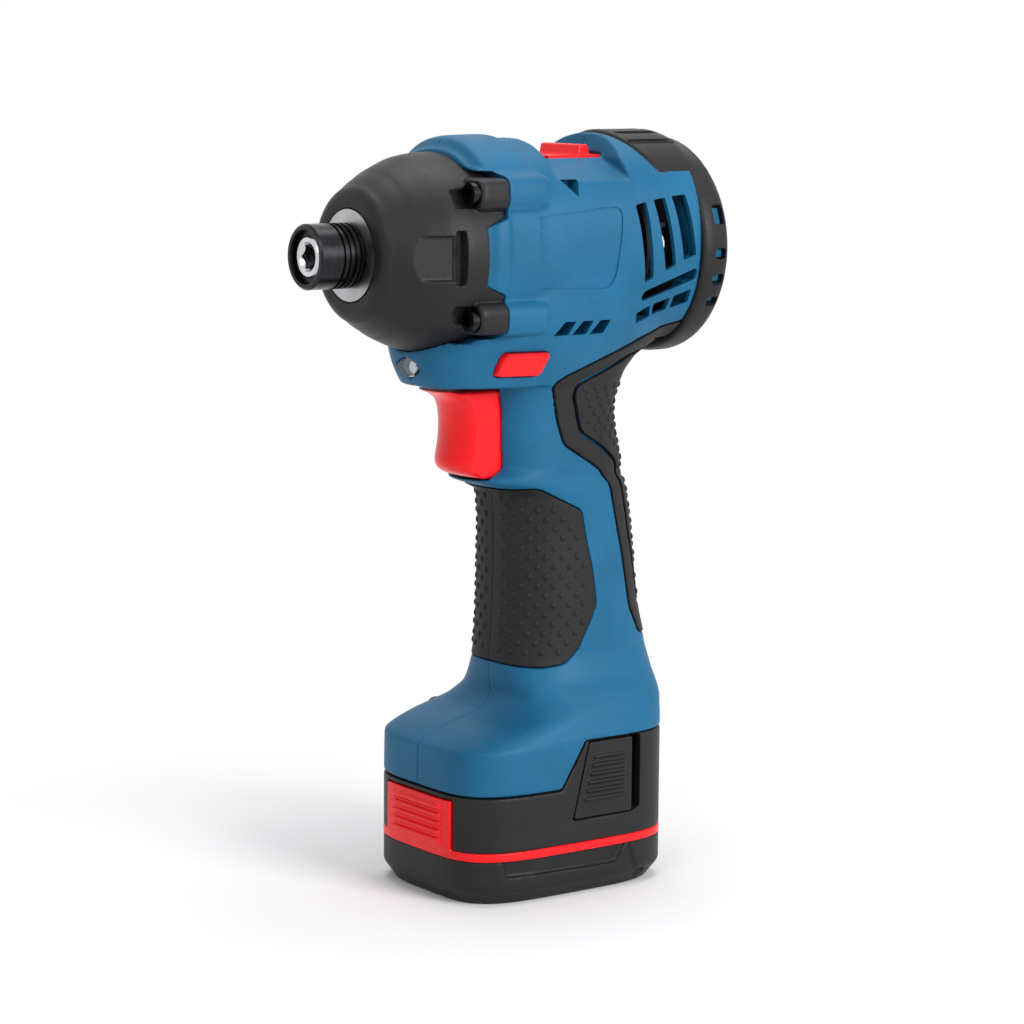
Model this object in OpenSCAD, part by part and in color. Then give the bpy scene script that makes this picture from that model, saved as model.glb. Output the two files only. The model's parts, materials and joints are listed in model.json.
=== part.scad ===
// Cordless impact driver: clamshell body, impact mechanism, brushless motor and plug-in pack.
// X runs forward along the bit, Y to the tool's left and Z up; the pack stands on Z = 0.
// Places below are measured from the barrel axis (Z) and from the front of the bit sleeve (X).

/* [Overall] */
// Length from the front of the bit sleeve to the back of the rear cap
tool_l = 121.6; // [120:0.2:128]
// Drop from the barrel axis to the lower front edge of the foot
foot_drop = 146.7; // [144:0.2:154]
// Height of the pack below that edge
pack_h = 30.6; // [30:0.2:36]

/* [Bit holder] */
// Width across the flats of the bit socket
hex_af = 6.35; // [5.5:0.05:6.6]
// Depth of the bit socket
hex_depth = 23; // [18:0.5:24]
// Radius of the anvil shank
anvil_r = 5.7; // [5.4:0.1:6]
// Radius of the bit sleeve
sleeve_r = 8.75; // [8.4:0.05:10]
// Length of the bit sleeve
sleeve_l = 13.4; // [13.2:0.1:15]
// Radius of the detent balls
detent_r = 1.7; // [1.5:0.05:1.9]

/* [Impact mechanism] */
// Radius of the hammer
hammer_r = 19.2; // [18:0.1:19.6]
// Length of the hammer's body
hammer_l = 12; // [11:0.2:12.6]
// Height of the hammer's two lugs
lug_h = 4.4; // [4:0.1:4.8]
// How far the hammer slides back
hammer_travel = 5.4; // [5:0.1:5.8]
// Radius of the spindle
spindle_r = 8; // [7.4:0.1:8.4]
// Wall of the hammer case
case_wall = 2.5; // [2:0.1:3]
// Outer radius of the case's snout
snout_r = 12.3; // [11.6:0.1:13]

/* [Gear stage] */
// Gear module
gear_m = 0.7; // [0.6:0.05:0.72]
// Teeth on the pinion
pinion_teeth = 12; // [12:12]
// Teeth on each planet
planet_teeth = 18; // [18:18]
// Face width of the planets
planet_w = 6; // [5:0.2:6.4]

/* [Motor] */
// Outer radius of the stator
stator_r = 22; // [20.5:0.1:22.4]
// Length of the stator's steel stack
stack_l = 16; // [14:0.5:17]
// Radius of the rotor
rotor_r = 10.6; // [9.6:0.1:11]
// Radius of the motor shaft
shaft_r = 2.5; // [2.2:0.1:2.7]
// Radius of the cooling fan
fan_r = 21; // [18:0.5:22]

/* [Body] */
// Height of the barrel above its axis
barrel_top = 32; // [31:0.2:35]
// Half width of the barrel
barrel_w = 27.4; // [27:0.2:30]
// Depth of the grip, front to back
grip_d = 44; // [42:0.5:48]
// Half width of the grip
grip_w = 18.3; // [17.6:0.1:20]
// Place of the grip's centre behind the sleeve's front
grip_x = -83.3; // [-85:0.1:-82]
// Half width of the foot and the pack
foot_b = 28; // [27.6:0.1:31]
// Thickness of the soft grips
grip_t = 1.6; // [1.2:0.1:2]
// Wall of the body
wall = 2.4; // [2:0.1:2.8]

/* [Controls] */
// Travel of the trigger
trigger_travel = 6.5; // [5:0.5:7]
// Half width of the trigger
trigger_w = 9.2; // [8:0.2:9.6]
// Travel of the direction selector to each side
selector_travel = 2.4; // [1.5:0.1:2.6]
// Travel of the speed selector
speed_travel = 6; // [4:0.5:7]
// Travel of the pack's latches
latch_travel = 2; // [1.5:0.1:2.4]

/* [Pack] */
// Radius of a cell
cell_r = 9.2; // [8.8:0.05:9.3]
// Length of a cell
cell_l = 65; // [60:0.5:65]
// Room from a cell's end to the outside of the pack
cell_end = 3.2; // [2.9:0.1:6]
// Wall of the pack's case
pack_wall = 2.2; // [1.8:0.1:2.4]
// Height of the red band
band_h = 2.4; // [2:0.1:3]
// Height of the tray below the band
tray_h = 12.6; // [12:0.2:14]

/* [Hidden] */
$fn = 64;

// Clearances: running fits, seated pieces, press fits, and the overrun of every cut
run_clear = 0.3;
seat_clear = 0.12;
press_clear = 0.02;
over = 1;
// Thickness of the thin slices that the body is lofted through, and points in each
slice = 0.02;
slice_points = 28;
// Colours of the finished pieces
blue = "#2b6c98";
dark = "#38383a";
red = "#f0222a";
steel = "#b9bcc0";
copper = "#b8743a";

// Stations along the barrel, from the front
axis_h = foot_drop + pack_h;
sleeve_gap = 0.4;
case_front = -sleeve_l - sleeve_gap;
snout_l = 5.4;
bush_l = 13.2;
bush_t = 2.5;
bush_back = case_front - run_clear - bush_l;
cavity_front = bush_back - sleeve_gap - run_clear;
jaw_l = 4.6;
jaw_front = cavity_front - run_clear;
jaw_back = jaw_front - jaw_l;
hammer_front = jaw_back - 2 * run_clear;
hammer_back = hammer_front - hammer_l;
carrier_front = hammer_back - hammer_travel - 2 * run_clear;
disc_t = 2.4;
planet_front = carrier_front - disc_t - run_clear;
planet_back = planet_front - planet_w;
carrier_back = planet_back - run_clear - disc_t;
plate_t = 3;
plate_front = carrier_back - run_clear;
plate_back = plate_front - plate_t;
case_ri = hammer_r + run_clear;
case_ro = case_ri + case_wall;
bearing_l = 4;
bearing_r = 6.5;
front_bearing_x = plate_front - run_clear;
stator_gap = 9;
stator_front = plate_back - stator_gap;
stator_back = stator_front - stack_l;
insulator_l = 5;
fan_h = 7;
fan_gap = 2;
fan_front = stator_back - insulator_l - fan_gap;
cap_t = 3.2;
rear_x = -tool_l;
rear_bearing_x = rear_x + cap_t + 2 * bearing_l;
cap_l = 10.2;
cap_front = rear_x + cap_l;
shaft_back = rear_bearing_x - bearing_l;

// The release sleeve and what it slides on
anvil_tip = -1;
hex_lead = 1.6;
sleeve_clear = 0.25;
sleeve_land_r = anvil_r + sleeve_clear;
sleeve_room_r = 7.2;
sleeve_room_back = -8.6;
ring_t = 1;
ball_x = -10.6;
detent_bite = 0.9;
ball_off = hex_af / 2 - detent_bite + detent_r;
rib_pitch = 1.7;
rib_depth = 0.55;
rib_count = 4;
sleeve_wire = 0.7;
sleeve_turns = 2.5;

// The nose cover: radii from its lip back, with the length shares where they fall
cover_clear = 0.2;
cover_r = 27.2;
cover_back = -47;
cover_notch = 6.2;
cover_l_shares = [[0, 0.625], [0.03, 0.655], [0.08, 0.69], [0.157, 0.757], [0.247, 0.82], [0.367, 0.89],
    [0.518, 0.963], [0.7, 0.99], [1, 1]];
notch_z = 8.2;
notch_top_z = 22;
boss_y = 23.4;
boss_z = 16.8;
boss_r = 4.4;
boss_front = -36.2;
window_z = 6.8;
window_front = -20.5;
window_back = -34.2;
window_floor = 0.9;
window_rise = 0.8;
window_ramp = 1.6;
window_deep = 4.8;
screw_r = 1.9;
screw_head_r = 2.9;
screw_head_h = 3;
screw_l = 9.5;
drive_share = 0.6;
fairing_back = -60;
fairing_tip_share = 0.6;
boss_inset_shares = [0, 0.2];

// The hammer, its spring and the cam
lug_w = 8;
lug_in_r = 10.5;
jaw_w = 9;
jaw_r = 17.6;
spring_pocket = 8;
hammer_spring_r = 12.4;
hammer_wire = 2;
hammer_turns = 3.5;
cam_ball_r = 2.3;
cam_ball_x = hammer_front - 2 * cam_ball_r;
cam_sweep = 7;
cam_nose_share = 1.5;
pilot_r = 3.4;
pilot_l = 4.4;
flange_r = 9;

// Gear stage: a ring with planets between it and the pinion
press_angle = 20;
tooth_share = 0.43;
addendum_share = 0.92;
dedendum_share = 1.3;
planet_count = 3;
ring_teeth = pinion_teeth + 2 * planet_teeth;
gear_centre = gear_m * (pinion_teeth + planet_teeth) / 2;
ring_rim = 0.9;
ring_out_r = case_ri + ring_rim;
carrier_r = gear_m * ring_teeth / 2 - 2 * gear_m;
pin_r = 2;

// Motor details
tooth_w = 6;
yoke_t = 3;
slot_count = 6;
air_gap = 0.5;
shoe_t = 1.6;
shoe_w = 10;
coil_t = 2.3;
pole_count = 4;
magnet_w = 9;
magnet_t = 2.2;
magnet_off = 7.2;
blade_count = 9;
blade_t = 1.2;
blade_shares = [[0.25, 0], [0.63, 2], [1, 5], [1, 6], [0.63, 3.2], [0.25, 1.2]];
hub_r = 6;

// Shares of the tool's length, barrel height and barrel width at each slice of the barrel
barrel_shares = [[0.335, 0.925, 0.956], [0.354, 0.97, 0.993], [0.436, 0.978, 1], [0.461, 0.953, 0.993],
    [0.543, 0.953, 0.993], [0.572, 0.888, 0.993], [0.74, 0.89, 1.003], [0.765, 0.985, 1.012],
    [0.916, 0.985, 1.044]];
barrel_square = 2.25;
// Sunken deck on top between the humps: flat in the middle, falling to each side
deck_front = -67.6;
deck_back = -90.2;
deck_z = 25.2;
deck_w = 10.4;
deck_run = 12.6;
deck_fall = 5.8;
// Shares of the foot's drop, of the grip's depth to front and back, and of its width; then squareness
neck_shares = [[0.12, 1.1, -0.789, 1.42, 2.5], [0.173, 1.18, -0.63, 1.31, 2.5], [0.199, 1.165, -0.5, 1.22, 2.5],
    [0.226, 1.133, -0.395, 1.126, 2.5], [0.246, 1.097, -0.345, 1.07, 2.5]];
grip_shares = [[0.232, 0.598, -0.365, 1.08, 2.7], [0.299, 0.57, -0.29, 1.03, 2.7],
    [0.3785, 0.566, -0.345, 0.995, 2.7], [0.408, 0.757, -0.38, 0.984, 2.7], [0.432, 0.574, -0.39, 0.984, 2.7],
    [0.455, 0.496, -0.404, 0.973, 2.7], [0.525, 0.484, -0.452, 0.962, 2.7], [0.598, 0.484, -0.478, 0.995, 2.7],
    [0.69, 0.492, -0.522, 1.01, 2.7], [0.757, 0.51, -0.582, 1.027, 2.7], [0.804, 0.515, -0.604, 1.13, 2.9],
    [0.837, 0.5, -0.59, 1.3, 3.3], [0.863, 0.59, -0.578, 1.43, 3.7], [0.89, 0.95, -0.575, 1.49, 4],
    [0.911, 1.049, -0.562, 1.52, 4.2]];
foot_square = 4.2;
// Half length of the foot and the pack
foot_a = cell_l / 2 + cell_end;
foot_ahead = 11.1;
foot_x = grip_x + foot_ahead;
foot_top_share = 0.926;
foot_top = -foot_top_share * foot_drop;
// Stack of cells on the tray's floor, and the top of the tower round the upper one
cell_floor = 0.3;
cell_low_z = -axis_h + pack_wall + cell_floor + cell_r + press_clear;
cell_off = cell_r + 2 * press_clear;
cell_high_z = cell_low_z + sqrt(3) * cell_off;
tower_top = cell_high_z + cell_r + seat_clear + pack_wall;
// Lower edge of the housing: low at the front, high behind the slanted step
step_ahead = 10.8;
step_slant = 12.2;
step_back = grip_x + step_ahead;
step_front = step_back + step_slant;
tower_rim = 4.36;
step_z = tower_top + tower_rim;
hollow_low_share = 0.74;
hollow_h_share = 0.27;
tower_in = 1.8;
skin_clear = 0.35;

// Soft grips: outlines as shares of the grip's depth from its centre and of the foot's drop
front_grip_shares = [[0.75, -0.436], [0.62, -0.443], [0.405, -0.44], [0.09, -0.487], [0.006, -0.61],
    [-0.02, -0.67], [0.125, -0.752], [0.225, -0.777], [0.37, -0.784], [0.75, -0.775]];
rear_grip_shares = [[-0.78, -0.125], [-0.28, -0.164], [0.27, -0.228], [0.36, -0.243], [0.31, -0.315],
    [0.255, -0.36], [-0.055, -0.416], [-0.13, -0.441], [-0.225, -0.561], [-0.3, -0.682], [-0.405, -0.738],
    [-0.7, -0.752], [-1, -0.5], [-1, -0.125]];
groove_shares = [[-1, -0.149], [-0.24, -0.2], [0.16, -0.245], [0.2, -0.263], [0.13, -0.339], [-0.08, -0.375],
    [-0.19, -0.4], [-0.255, -0.446], [-0.325, -0.546], [-0.43, -0.68], [-1, -0.68]];
groove_w = 0.8;
grip_proud = 0.25;

// Openings in the barrel's sides: how far a cut reaches out, vents and the bare panel
side_reach = 2 * barrel_w;
panel_shares = [[0.44, 0.36], [0.7, 0.47], [0.705, 0.15], [0.677, -0.36], [0.437, -0.33]];
panel_depth = 0.5;
vent_pitch = 6.6;
vent_w = 4.4;
vent_x = -88.6;
vent_top = 13.4;
vent_climb = 1.2;
vent_bottom = -8.4;
vent_rise = 3.1;
vent_count = 3;
long_vent_l = 20;
long_vent_h = 2.8;
long_vent_tilt = 23;
long_vent_drop = 5.9;
long_vent_pitch = 5.9;
small_vent_x = -63;
small_vent_z = -20;
small_vent_pitch = 6;
small_vent_w = 4.2;
small_vent_h = 4;
small_vent_lean = 2.4;

// Rear cap
cap_r = 30.2;
cap_round = 3.6;
cap_rim_t = 4.2;
spigot_r = cap_r - cap_rim_t;
cap_slot_count = 5;
cap_slot_step = 13;
cap_slot_w = 3.4;
cap_slot_l = 5.4;
pad_l = 14.5;
pad_turn = 46;
pad_proud = 0.5;
pad_r = barrel_top + pad_proud;
pad_t = 3.4;
pad_groove_w = 1.4;
pad_groove_step = 11;

// Trigger and switch: profile shares of its depth and height
trigger_front = -38.5;
trigger_d = 24.7;
trigger_top = -37.4;
trigger_h = 24.6;
trigger_shares = [[0, 0], [0.162, -0.065], [0.247, -0.13], [0.296, -0.24], [0.312, -0.37], [0.308, -0.53],
    [0.283, -0.667], [0.251, -0.79], [0.255, -0.86], [0.312, -0.927], [0.425, -0.976], [0.55, -1], [1, -1],
    [1, 0]];
trigger_round = 12;
trigger_pocket_r = 5.6;
trigger_pocket_share = 0.75;
stem_share = 0.7;
stem_r = 2.4;
stem_l = 11;
trigger_wire = 0.8;
trigger_turns = 5;
switch_l = 20;
switch_w = 11;
switch_gap = trigger_travel + over;
switch_front = trigger_front - trigger_d - switch_gap;

// Selectors, lamp and board
selector_x = -52.5;
selector_z = -29.4;
selector_l = 19.4;
selector_h = 6.2;
selector_reach = 22.2;
selector_out = selector_reach + selector_travel;
selector_lean = 2.2;
selector_cap_share = 0.7;
bar_l = 12;
bar_h = 3.4;
speed_x = -78.9;
speed_l = 18.2;
speed_w = 9.2;
speed_h = 2.1;
speed_sink = 1.5;
speed_floor = deck_z - speed_sink;
tab_back = 3.1;
tab_l = 3;
tab_h = 2.8;
tab_w_share = 0.97;
tab_shares = [[-0.7, 0], [-0.5, 1], [0.5, 1], [0.7, 0]];
lamp_z = -30.8;
lamp_r = 2.5;
lamp_l = 6;
lens_x = -32.4;
lens_w = 4.4;
lens_h = 2.9;
lens_t = 2.6;
board_back = 1;
board_x = grip_x - board_back;
board_lift = 6.6;
board_z = step_z + board_lift;
board_l = 34;
board_w = 13;
board_t = 1.6;
board_room = 6;
chip_l = 9;
chip_w = 7;
chip_pitch = 10.4;
chip_h = 3;

// Pack
tower_wall = 1.2;
band_top = -axis_h + tray_h + band_h;
panel_w = 15.2;
panel_gap = 0.35;
front_panel_drop = 1.9;
front_panel_top = -foot_drop - front_panel_drop;
panel_proud = 0.5;
panel_ribs = 5;
panel_rib_h = 1.1;
rib_w_share = 0.75;
latch_x = -79.9;
latch_room = 0.9;
latch_top = step_z - latch_room;
latch_drop = 8.8;
latch_low = -foot_drop - latch_drop;
latch_l = 20.2;
latch_lean = 5.2;
latch_t = 3;
latch_gap = 3.2;
latch_ribs = 5;
latch_rib_h = 1.3;
latch_rib_share = 0.3;
latch_seat_y = 19.6;
latch_seat_t = 1;
latch_wire = 0.7;
latch_spring_r = 3;
latch_turns = 3;
tray_chamfer = 3;
tray_chamfer_h = 5;
cradle_t = 3;
cradle_shares = [-0.55, 0.55];
contact_x = -86;
contact_y = 12.6;
contact_l = 22;
contact_w = 16;
blade_l = 8;
blade_w = 0.8;
blade_drop = 7;
clip_t = 0.8;

// Screws across the body: shares of the tool's length, then heights as shares of the foot's drop for the upper
// two and as lifts above the step for those in the foot, and the depth of each head's seat
body_screw_x_shares = [0.6, 0.625, 0.7, 0.86, 0.49];
body_screw_high_shares = [-0.19, -0.443];
body_screw_lifts = [17.8, 9.7, 1.7];
body_screw_z = concat(body_screw_high_shares * foot_drop, [for (lift = body_screw_lifts) step_z + lift]);
body_screw_seats = [18, 13.4, 15.8, 13.5, 22];
body_screw_reach = 9;
body_screw_head_r = 3.2;

function rounded(a, b, square) = [for (i = [0:slice_points - 1]) let (t = 360 * i / slice_points)
    [a * sign(cos(t)) * pow(abs(cos(t)), 2 / square), b * sign(sin(t)) * pow(abs(sin(t)), 2 / square)]];
function scaled(shares, a, b, x0) = [for (p = shares) [x0 + p[0] * a, p[1] * b]];
function inv_angle(a) = tan(a) * 180 / PI - a;
function tooth_half(teeth, r, share) = let (base = gear_m * teeth / 2 * cos(press_angle))
    180 * share / teeth + inv_angle(press_angle) - inv_angle(acos(min(1, base / r)));
function gear_outline(teeth, root, tip, share, flank = 4) = [for (i = [0:teeth - 1]) for (k = [0:2 * flank + 1])
    let (up = k <= flank, j = up ? k : 2 * flank + 1 - k, r = root + (tip - root) * j / flank,
        a = 360 * i / teeth + (up ? -1 : 1) * tooth_half(teeth, r, share)) r * [cos(a), sin(a)]];
function helix(r, turns, l, steps = 8) = [for (i = [0:ceil(turns * steps)]) let (t = i / steps)
    [l * i / ceil(turns * steps), r * cos(360 * t), r * sin(360 * t)]];
function coil_gap(p, wire, steps = 8) = min([for (i = [0:len(p) - 1 - steps])
    norm(p[i + steps] - p[i])]) - wire;

// Everything stands on the pack, centred over its length
module place() translate([tool_l / 2, 0, axis_h]) children();
// A straight round bar along the barrel, and a turned shape from places and radii
module rod(x0, x1, r) translate([min(x0, x1), 0, 0]) rotate([0, 90, 0]) cylinder(h = abs(x1 - x0), r = r);
module turned(profile) rotate([0, 90, 0]) rotate_extrude() polygon([for (p = profile) [p[1], p[0]]]);
module tube(x0, x1, r0, r1) difference() {
    rod(x0, x1, r1);
    rod(min(x0, x1) - over, max(x0, x1) + over, r0);
}
// A flat outline drawn across the barrel axis and carried along it
module along(x0, l) translate([x0, 0, 0]) rotate([90, 0, 90]) linear_extrude(l) children();
// A side outline in X and Z carried across the tool from y0 to y1
module across(y0, y1) translate([0, y1, 0]) rotate([90, 0, 0]) linear_extrude(y1 - y0) children();
module block(x0, x1, w, z0, z1) translate([min(x0, x1), -w, min(z0, z1)])
    cube([abs(x1 - x0), 2 * w, abs(z1 - z0)]);
module both_sides() {
    children();
    mirror([0, 1, 0]) children();
}
module around(count) for (i = [0:count - 1]) rotate([360 * i / count, 0, 0]) children();
// A wound wire from x0 along the barrel
module spring(r, wire, turns, l, sides = 6) {
    path = helix(r, turns, l);
    n = len(path);
    ring = [for (p = path) let (out = [0, p[1], p[2]] / r) for (s = [0:sides - 1])
        p + wire / 2 * (cos(360 * s / sides) * out + [sin(360 * s / sides), 0, 0])];
    skin = [for (i = [0:n - 2]) for (s = [0:sides - 1]) let (a = i * sides + s, b = i * sides + (s + 1) % sides)
        each [[a, b, b + sides], [a, b + sides, a + sides]]];
    ends = [for (s = [1:sides - 2]) each [[0, s + 1, s],
        [(n - 1) * sides, (n - 1) * sides + s, (n - 1) * sides + s + 1]]];
    echo(str("least gap between turns ", coil_gap(path, wire)));
    polyhedron(ring, concat(skin, ends));
}

// Outer form of the body, grown by g
module barrel_slice(s, g) {
    top = s[1] * barrel_top + g;
    low = -barrel_w - g;
    along(-s[0] * tool_l, slice) translate([0, (top + low) / 2])
        polygon(rounded(s[2] * barrel_w + g, (top - low) / 2, barrel_square));
}
module grip_slice(s, g) {
    front = grip_x + s[1] * grip_d + g;
    back = grip_x + s[2] * grip_d - g;
    translate([(front + back) / 2, 0, -s[0] * foot_drop]) linear_extrude(slice)
        polygon(rounded((front - back) / 2, s[3] * grip_w + g, s[4]));
}
module foot_outline(g) translate([foot_x, 0]) polygon(rounded(foot_a + g, foot_b + g, foot_square));
module foot_block(z0, z1, g) translate([0, 0, z0]) linear_extrude(z1 - z0) foot_outline(g);
module barrel_form(g) for (i = [0:len(barrel_shares) - 2]) hull() {
    barrel_slice(barrel_shares[i], g);
    barrel_slice(barrel_shares[i + 1], g);
}
module slices_form(shares, g) for (i = [0:len(shares) - 2]) hull() {
    grip_slice(shares[i], g);
    grip_slice(shares[i + 1], g);
}
module grip_form(g) {
    slices_form(neck_shares, g);
    slices_form(grip_shares, g);
}
module body_form() {
    barrel_form(0);
    grip_form(0);
    hull() {
        grip_slice(grip_shares[len(grip_shares) - 1], 0);
        foot_block(foot_top, foot_top + slice, 0);
    }
    foot_block(-foot_drop, foot_top + slice, 0);
    rod(cap_front, rear_x + cap_t + sleeve_gap, spigot_r);
    both_sides() for (side = [-1, 1]) fairing(side * boss_z);
}
// Rounded fairing on the barrel behind each screw of the nose
module fairing(z) hull() for (inset = boss_inset_shares) translate([0, boss_y * (1 - inset),
    z * (1 - inset)]) {
        rod(cover_back, fairing_back + boss_r, boss_r, $fn = 20);
        rod(cover_back, fairing_back, fairing_tip_share * boss_r, $fn = 20);
    }
module step_zone(g) across(-foot_b - over, foot_b + over) polygon([
    [foot_x - foot_a - over, step_z + g], [step_back + g, step_z + g], [step_front + g, -foot_drop + g],
    [step_front + g, -axis_h], [foot_x - foot_a - over, -axis_h]]);
// The nose cover's rear edge: forward between the screws, over the top and underneath
module ear_zone(g) for (side = [-1, 1]) block(cover_back - g, cover_back + cover_notch + g,
    cover_r + 2 * boss_r, side * (notch_z - g), side * (notch_top_z + g));
module cover_zone(g) {
    intersection() {
        cover_form(g);
        rod(cover_back + cover_notch - g, 0, cover_r + boss_r);
    }
    ear_zone(g);
}
module grip_skin(shares, g) intersection() {
    difference() {
        union() {
            grip_form(grip_proud);
            barrel_form(grip_proud);
        }
        grip_form(-grip_t - g);
        barrel_form(-grip_t - g);
    }
    across(-over * sign(g), cover_r * 2) offset(delta = g) polygon(scaled(shares, grip_d, foot_drop, grip_x));
}

// Hollows of the body, each taking the size of what it holds
module barrel_hollow() {
    rod(0, plate_back - seat_clear, case_ro + seat_clear);
    rod(plate_back, rear_x, bearing_r * 2);
    rod(stator_front + insulator_l + seat_clear, stator_back - insulator_l - seat_clear, stator_r - yoke_t / 2);
    rod(stator_front + seat_clear, stator_back - seat_clear, stator_r + seat_clear);
    rod(stator_front, stator_front + insulator_l + run_clear, stator_r - run_clear);
    rod(stator_back, rear_x - over, fan_r + 2 * run_clear);
    rod(stator_back - fan_gap, cap_front + wall, barrel_w - wall);
}
module switch_hollow() {
    block(trigger_front + over, switch_front, trigger_w + run_clear, trigger_top + run_clear,
        trigger_top - trigger_h - run_clear);
    block(switch_front + seat_clear, switch_front - switch_l - seat_clear, switch_w + seat_clear,
        trigger_top + seat_clear, trigger_top - trigger_h - seat_clear);
}
module selector_hollow() {
    block(selector_x - selector_l / 2 - selector_lean - run_clear, selector_x + selector_l / 2 + run_clear,
        barrel_w + over, selector_z - selector_h / 2 - run_clear, selector_z + selector_h / 2 + run_clear);
}
module speed_hollow() block(speed_x - speed_l / 2 - speed_travel / 2 - run_clear,
    speed_x + speed_l / 2 + speed_travel / 2 + run_clear, speed_w + run_clear, speed_floor,
    speed_floor + speed_h + run_clear);
module deck() along(deck_back, deck_front - deck_back) {
    out = deck_w + 2 * deck_run;
    low = deck_z - 2 * deck_fall;
    polygon([[-out, low], [-deck_w, deck_z], [deck_w, deck_z], [out, low], [out, 2 * barrel_top],
        [-out, 2 * barrel_top]]);
}
module lamp_hollow() {
    block(lens_x - lens_t - seat_clear, 0, lens_w + seat_clear, lamp_z - lens_h - seat_clear,
        lamp_z + lens_h + seat_clear);
    translate([0, 0, lamp_z]) rod(lens_x - lens_t, lens_x - lens_t - lamp_l - run_clear, lamp_r + seat_clear);
}
module foot_hollow() {
    step_zone(0);
    foot_block(-foot_drop - over, tower_top + skin_clear, -tower_in);
    block(board_x - board_l / 2 - seat_clear, board_x + board_l / 2 + seat_clear, board_w + seat_clear, board_z,
        board_z + board_room);
    block(contact_x - contact_l / 2 - seat_clear, contact_x + contact_l / 2 + seat_clear,
        contact_w + seat_clear, step_z - over, step_z + wall + seat_clear);
}
module grip_hollow() intersection() {
    slices_form(grip_shares, -grip_t - wall);
    translate([grip_x - grip_d, -grip_w, -hollow_low_share * foot_drop])
        cube([2 * grip_d, 2 * grip_w, hollow_h_share * foot_drop]);
}
module vents() {
    for (i = [0:vent_count - 1]) {
        x = vent_x - i * vent_pitch;
        across(stator_r / 2, side_reach) polygon([[x, vent_top + i * vent_climb],
            [x - vent_w, vent_top + (i + 1) * vent_climb],
            [x - vent_w, vent_bottom + (i + 1) * vent_rise], [x, vent_bottom + i * vent_rise]]);
    }
    for (row = [0, 1]) translate([vent_x, 0, vent_bottom - long_vent_drop - row * long_vent_pitch])
        rotate([0, long_vent_tilt, 0]) difference() {
            across(stator_r / 2, side_reach) translate([-long_vent_l, 0]) square([long_vent_l, long_vent_h]);
            for (rib = [1, 2]) if (row == 1) across(stator_r / 2 - over, side_reach + over)
                translate([-long_vent_l * rib / 3, -over]) square([over, long_vent_h + 2 * over]);
        }
    for (i = [0:vent_count - 1]) translate([small_vent_x - i * small_vent_pitch, 0, small_vent_z])
        across(stator_r / 2, side_reach) polygon([[0, 0], [-small_vent_w, 0],
            [-small_vent_w - small_vent_lean, small_vent_h], [-small_vent_lean, small_vent_h]]);
}
module panel() intersection() {
    difference() {
        barrel_form(over);
        barrel_form(-panel_depth);
    }
    across(0, side_reach) polygon([for (p = panel_shares) [-p[0] * tool_l, p[1] * barrel_w]]);
}
module body_screw(i) {
    translate([-body_screw_x_shares[i] * tool_l, -body_screw_seats[i], body_screw_z[i]]) rotate([90, 0, 0])
        children();
}
module housing_half($fn = 40) {
    difference() {
        body_form();
        cover_zone(seat_clear);
        barrel_hollow();
        switch_hollow();
        selector_hollow();
        deck();
        speed_hollow();
        lamp_hollow();
        foot_hollow();
        grip_hollow();
        vents();
        panel();
        grip_skin(front_grip_shares, press_clear);
        grip_skin(rear_grip_shares, press_clear);
        pad_zone(seat_clear);
        for (side = [-1, 1]) translate([0, boss_y, side * boss_z]) rod(boss_front - screw_head_h - screw_l
            - run_clear, 0, screw_r + press_clear);
        translate([-2 * tool_l, -2 * foot_b, -2 * axis_h]) cube([4 * tool_l, 2 * foot_b, 4 * axis_h]);
        for (i = [0:len(body_screw_z) - 1]) mirror([0, 1, 0]) body_screw(i)
            translate([0, 0, -body_screw_seats[i] - body_screw_reach - run_clear])
                cylinder(h = body_screw_seats[i] + body_screw_reach + over, r = screw_r + seat_clear / 2,
                    $fn = 20);
    }
}
module housing_left() color(blue) place() housing_half();
module housing_right() color(blue) place() difference() {
    mirror([0, 1, 0]) housing_half();
    for (i = [0:len(body_screw_z) - 1]) body_screw(i)
        cylinder(h = barrel_w, r = body_screw_head_r + seat_clear, $fn = 24);
}
module housing_screws() color("#55575a") place() for (i = [0:len(body_screw_z) - 1]) body_screw(i) {
    difference() {
        cylinder(h = screw_head_h, r = body_screw_head_r);
        translate([0, 0, screw_head_h / 2])
            cylinder(h = screw_head_h, r = drive_share * body_screw_head_r, $fn = 6);
    }
    translate([0, 0, -body_screw_seats[i] - body_screw_reach])
        cylinder(h = body_screw_seats[i] + body_screw_reach, r = screw_r);
}

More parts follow.
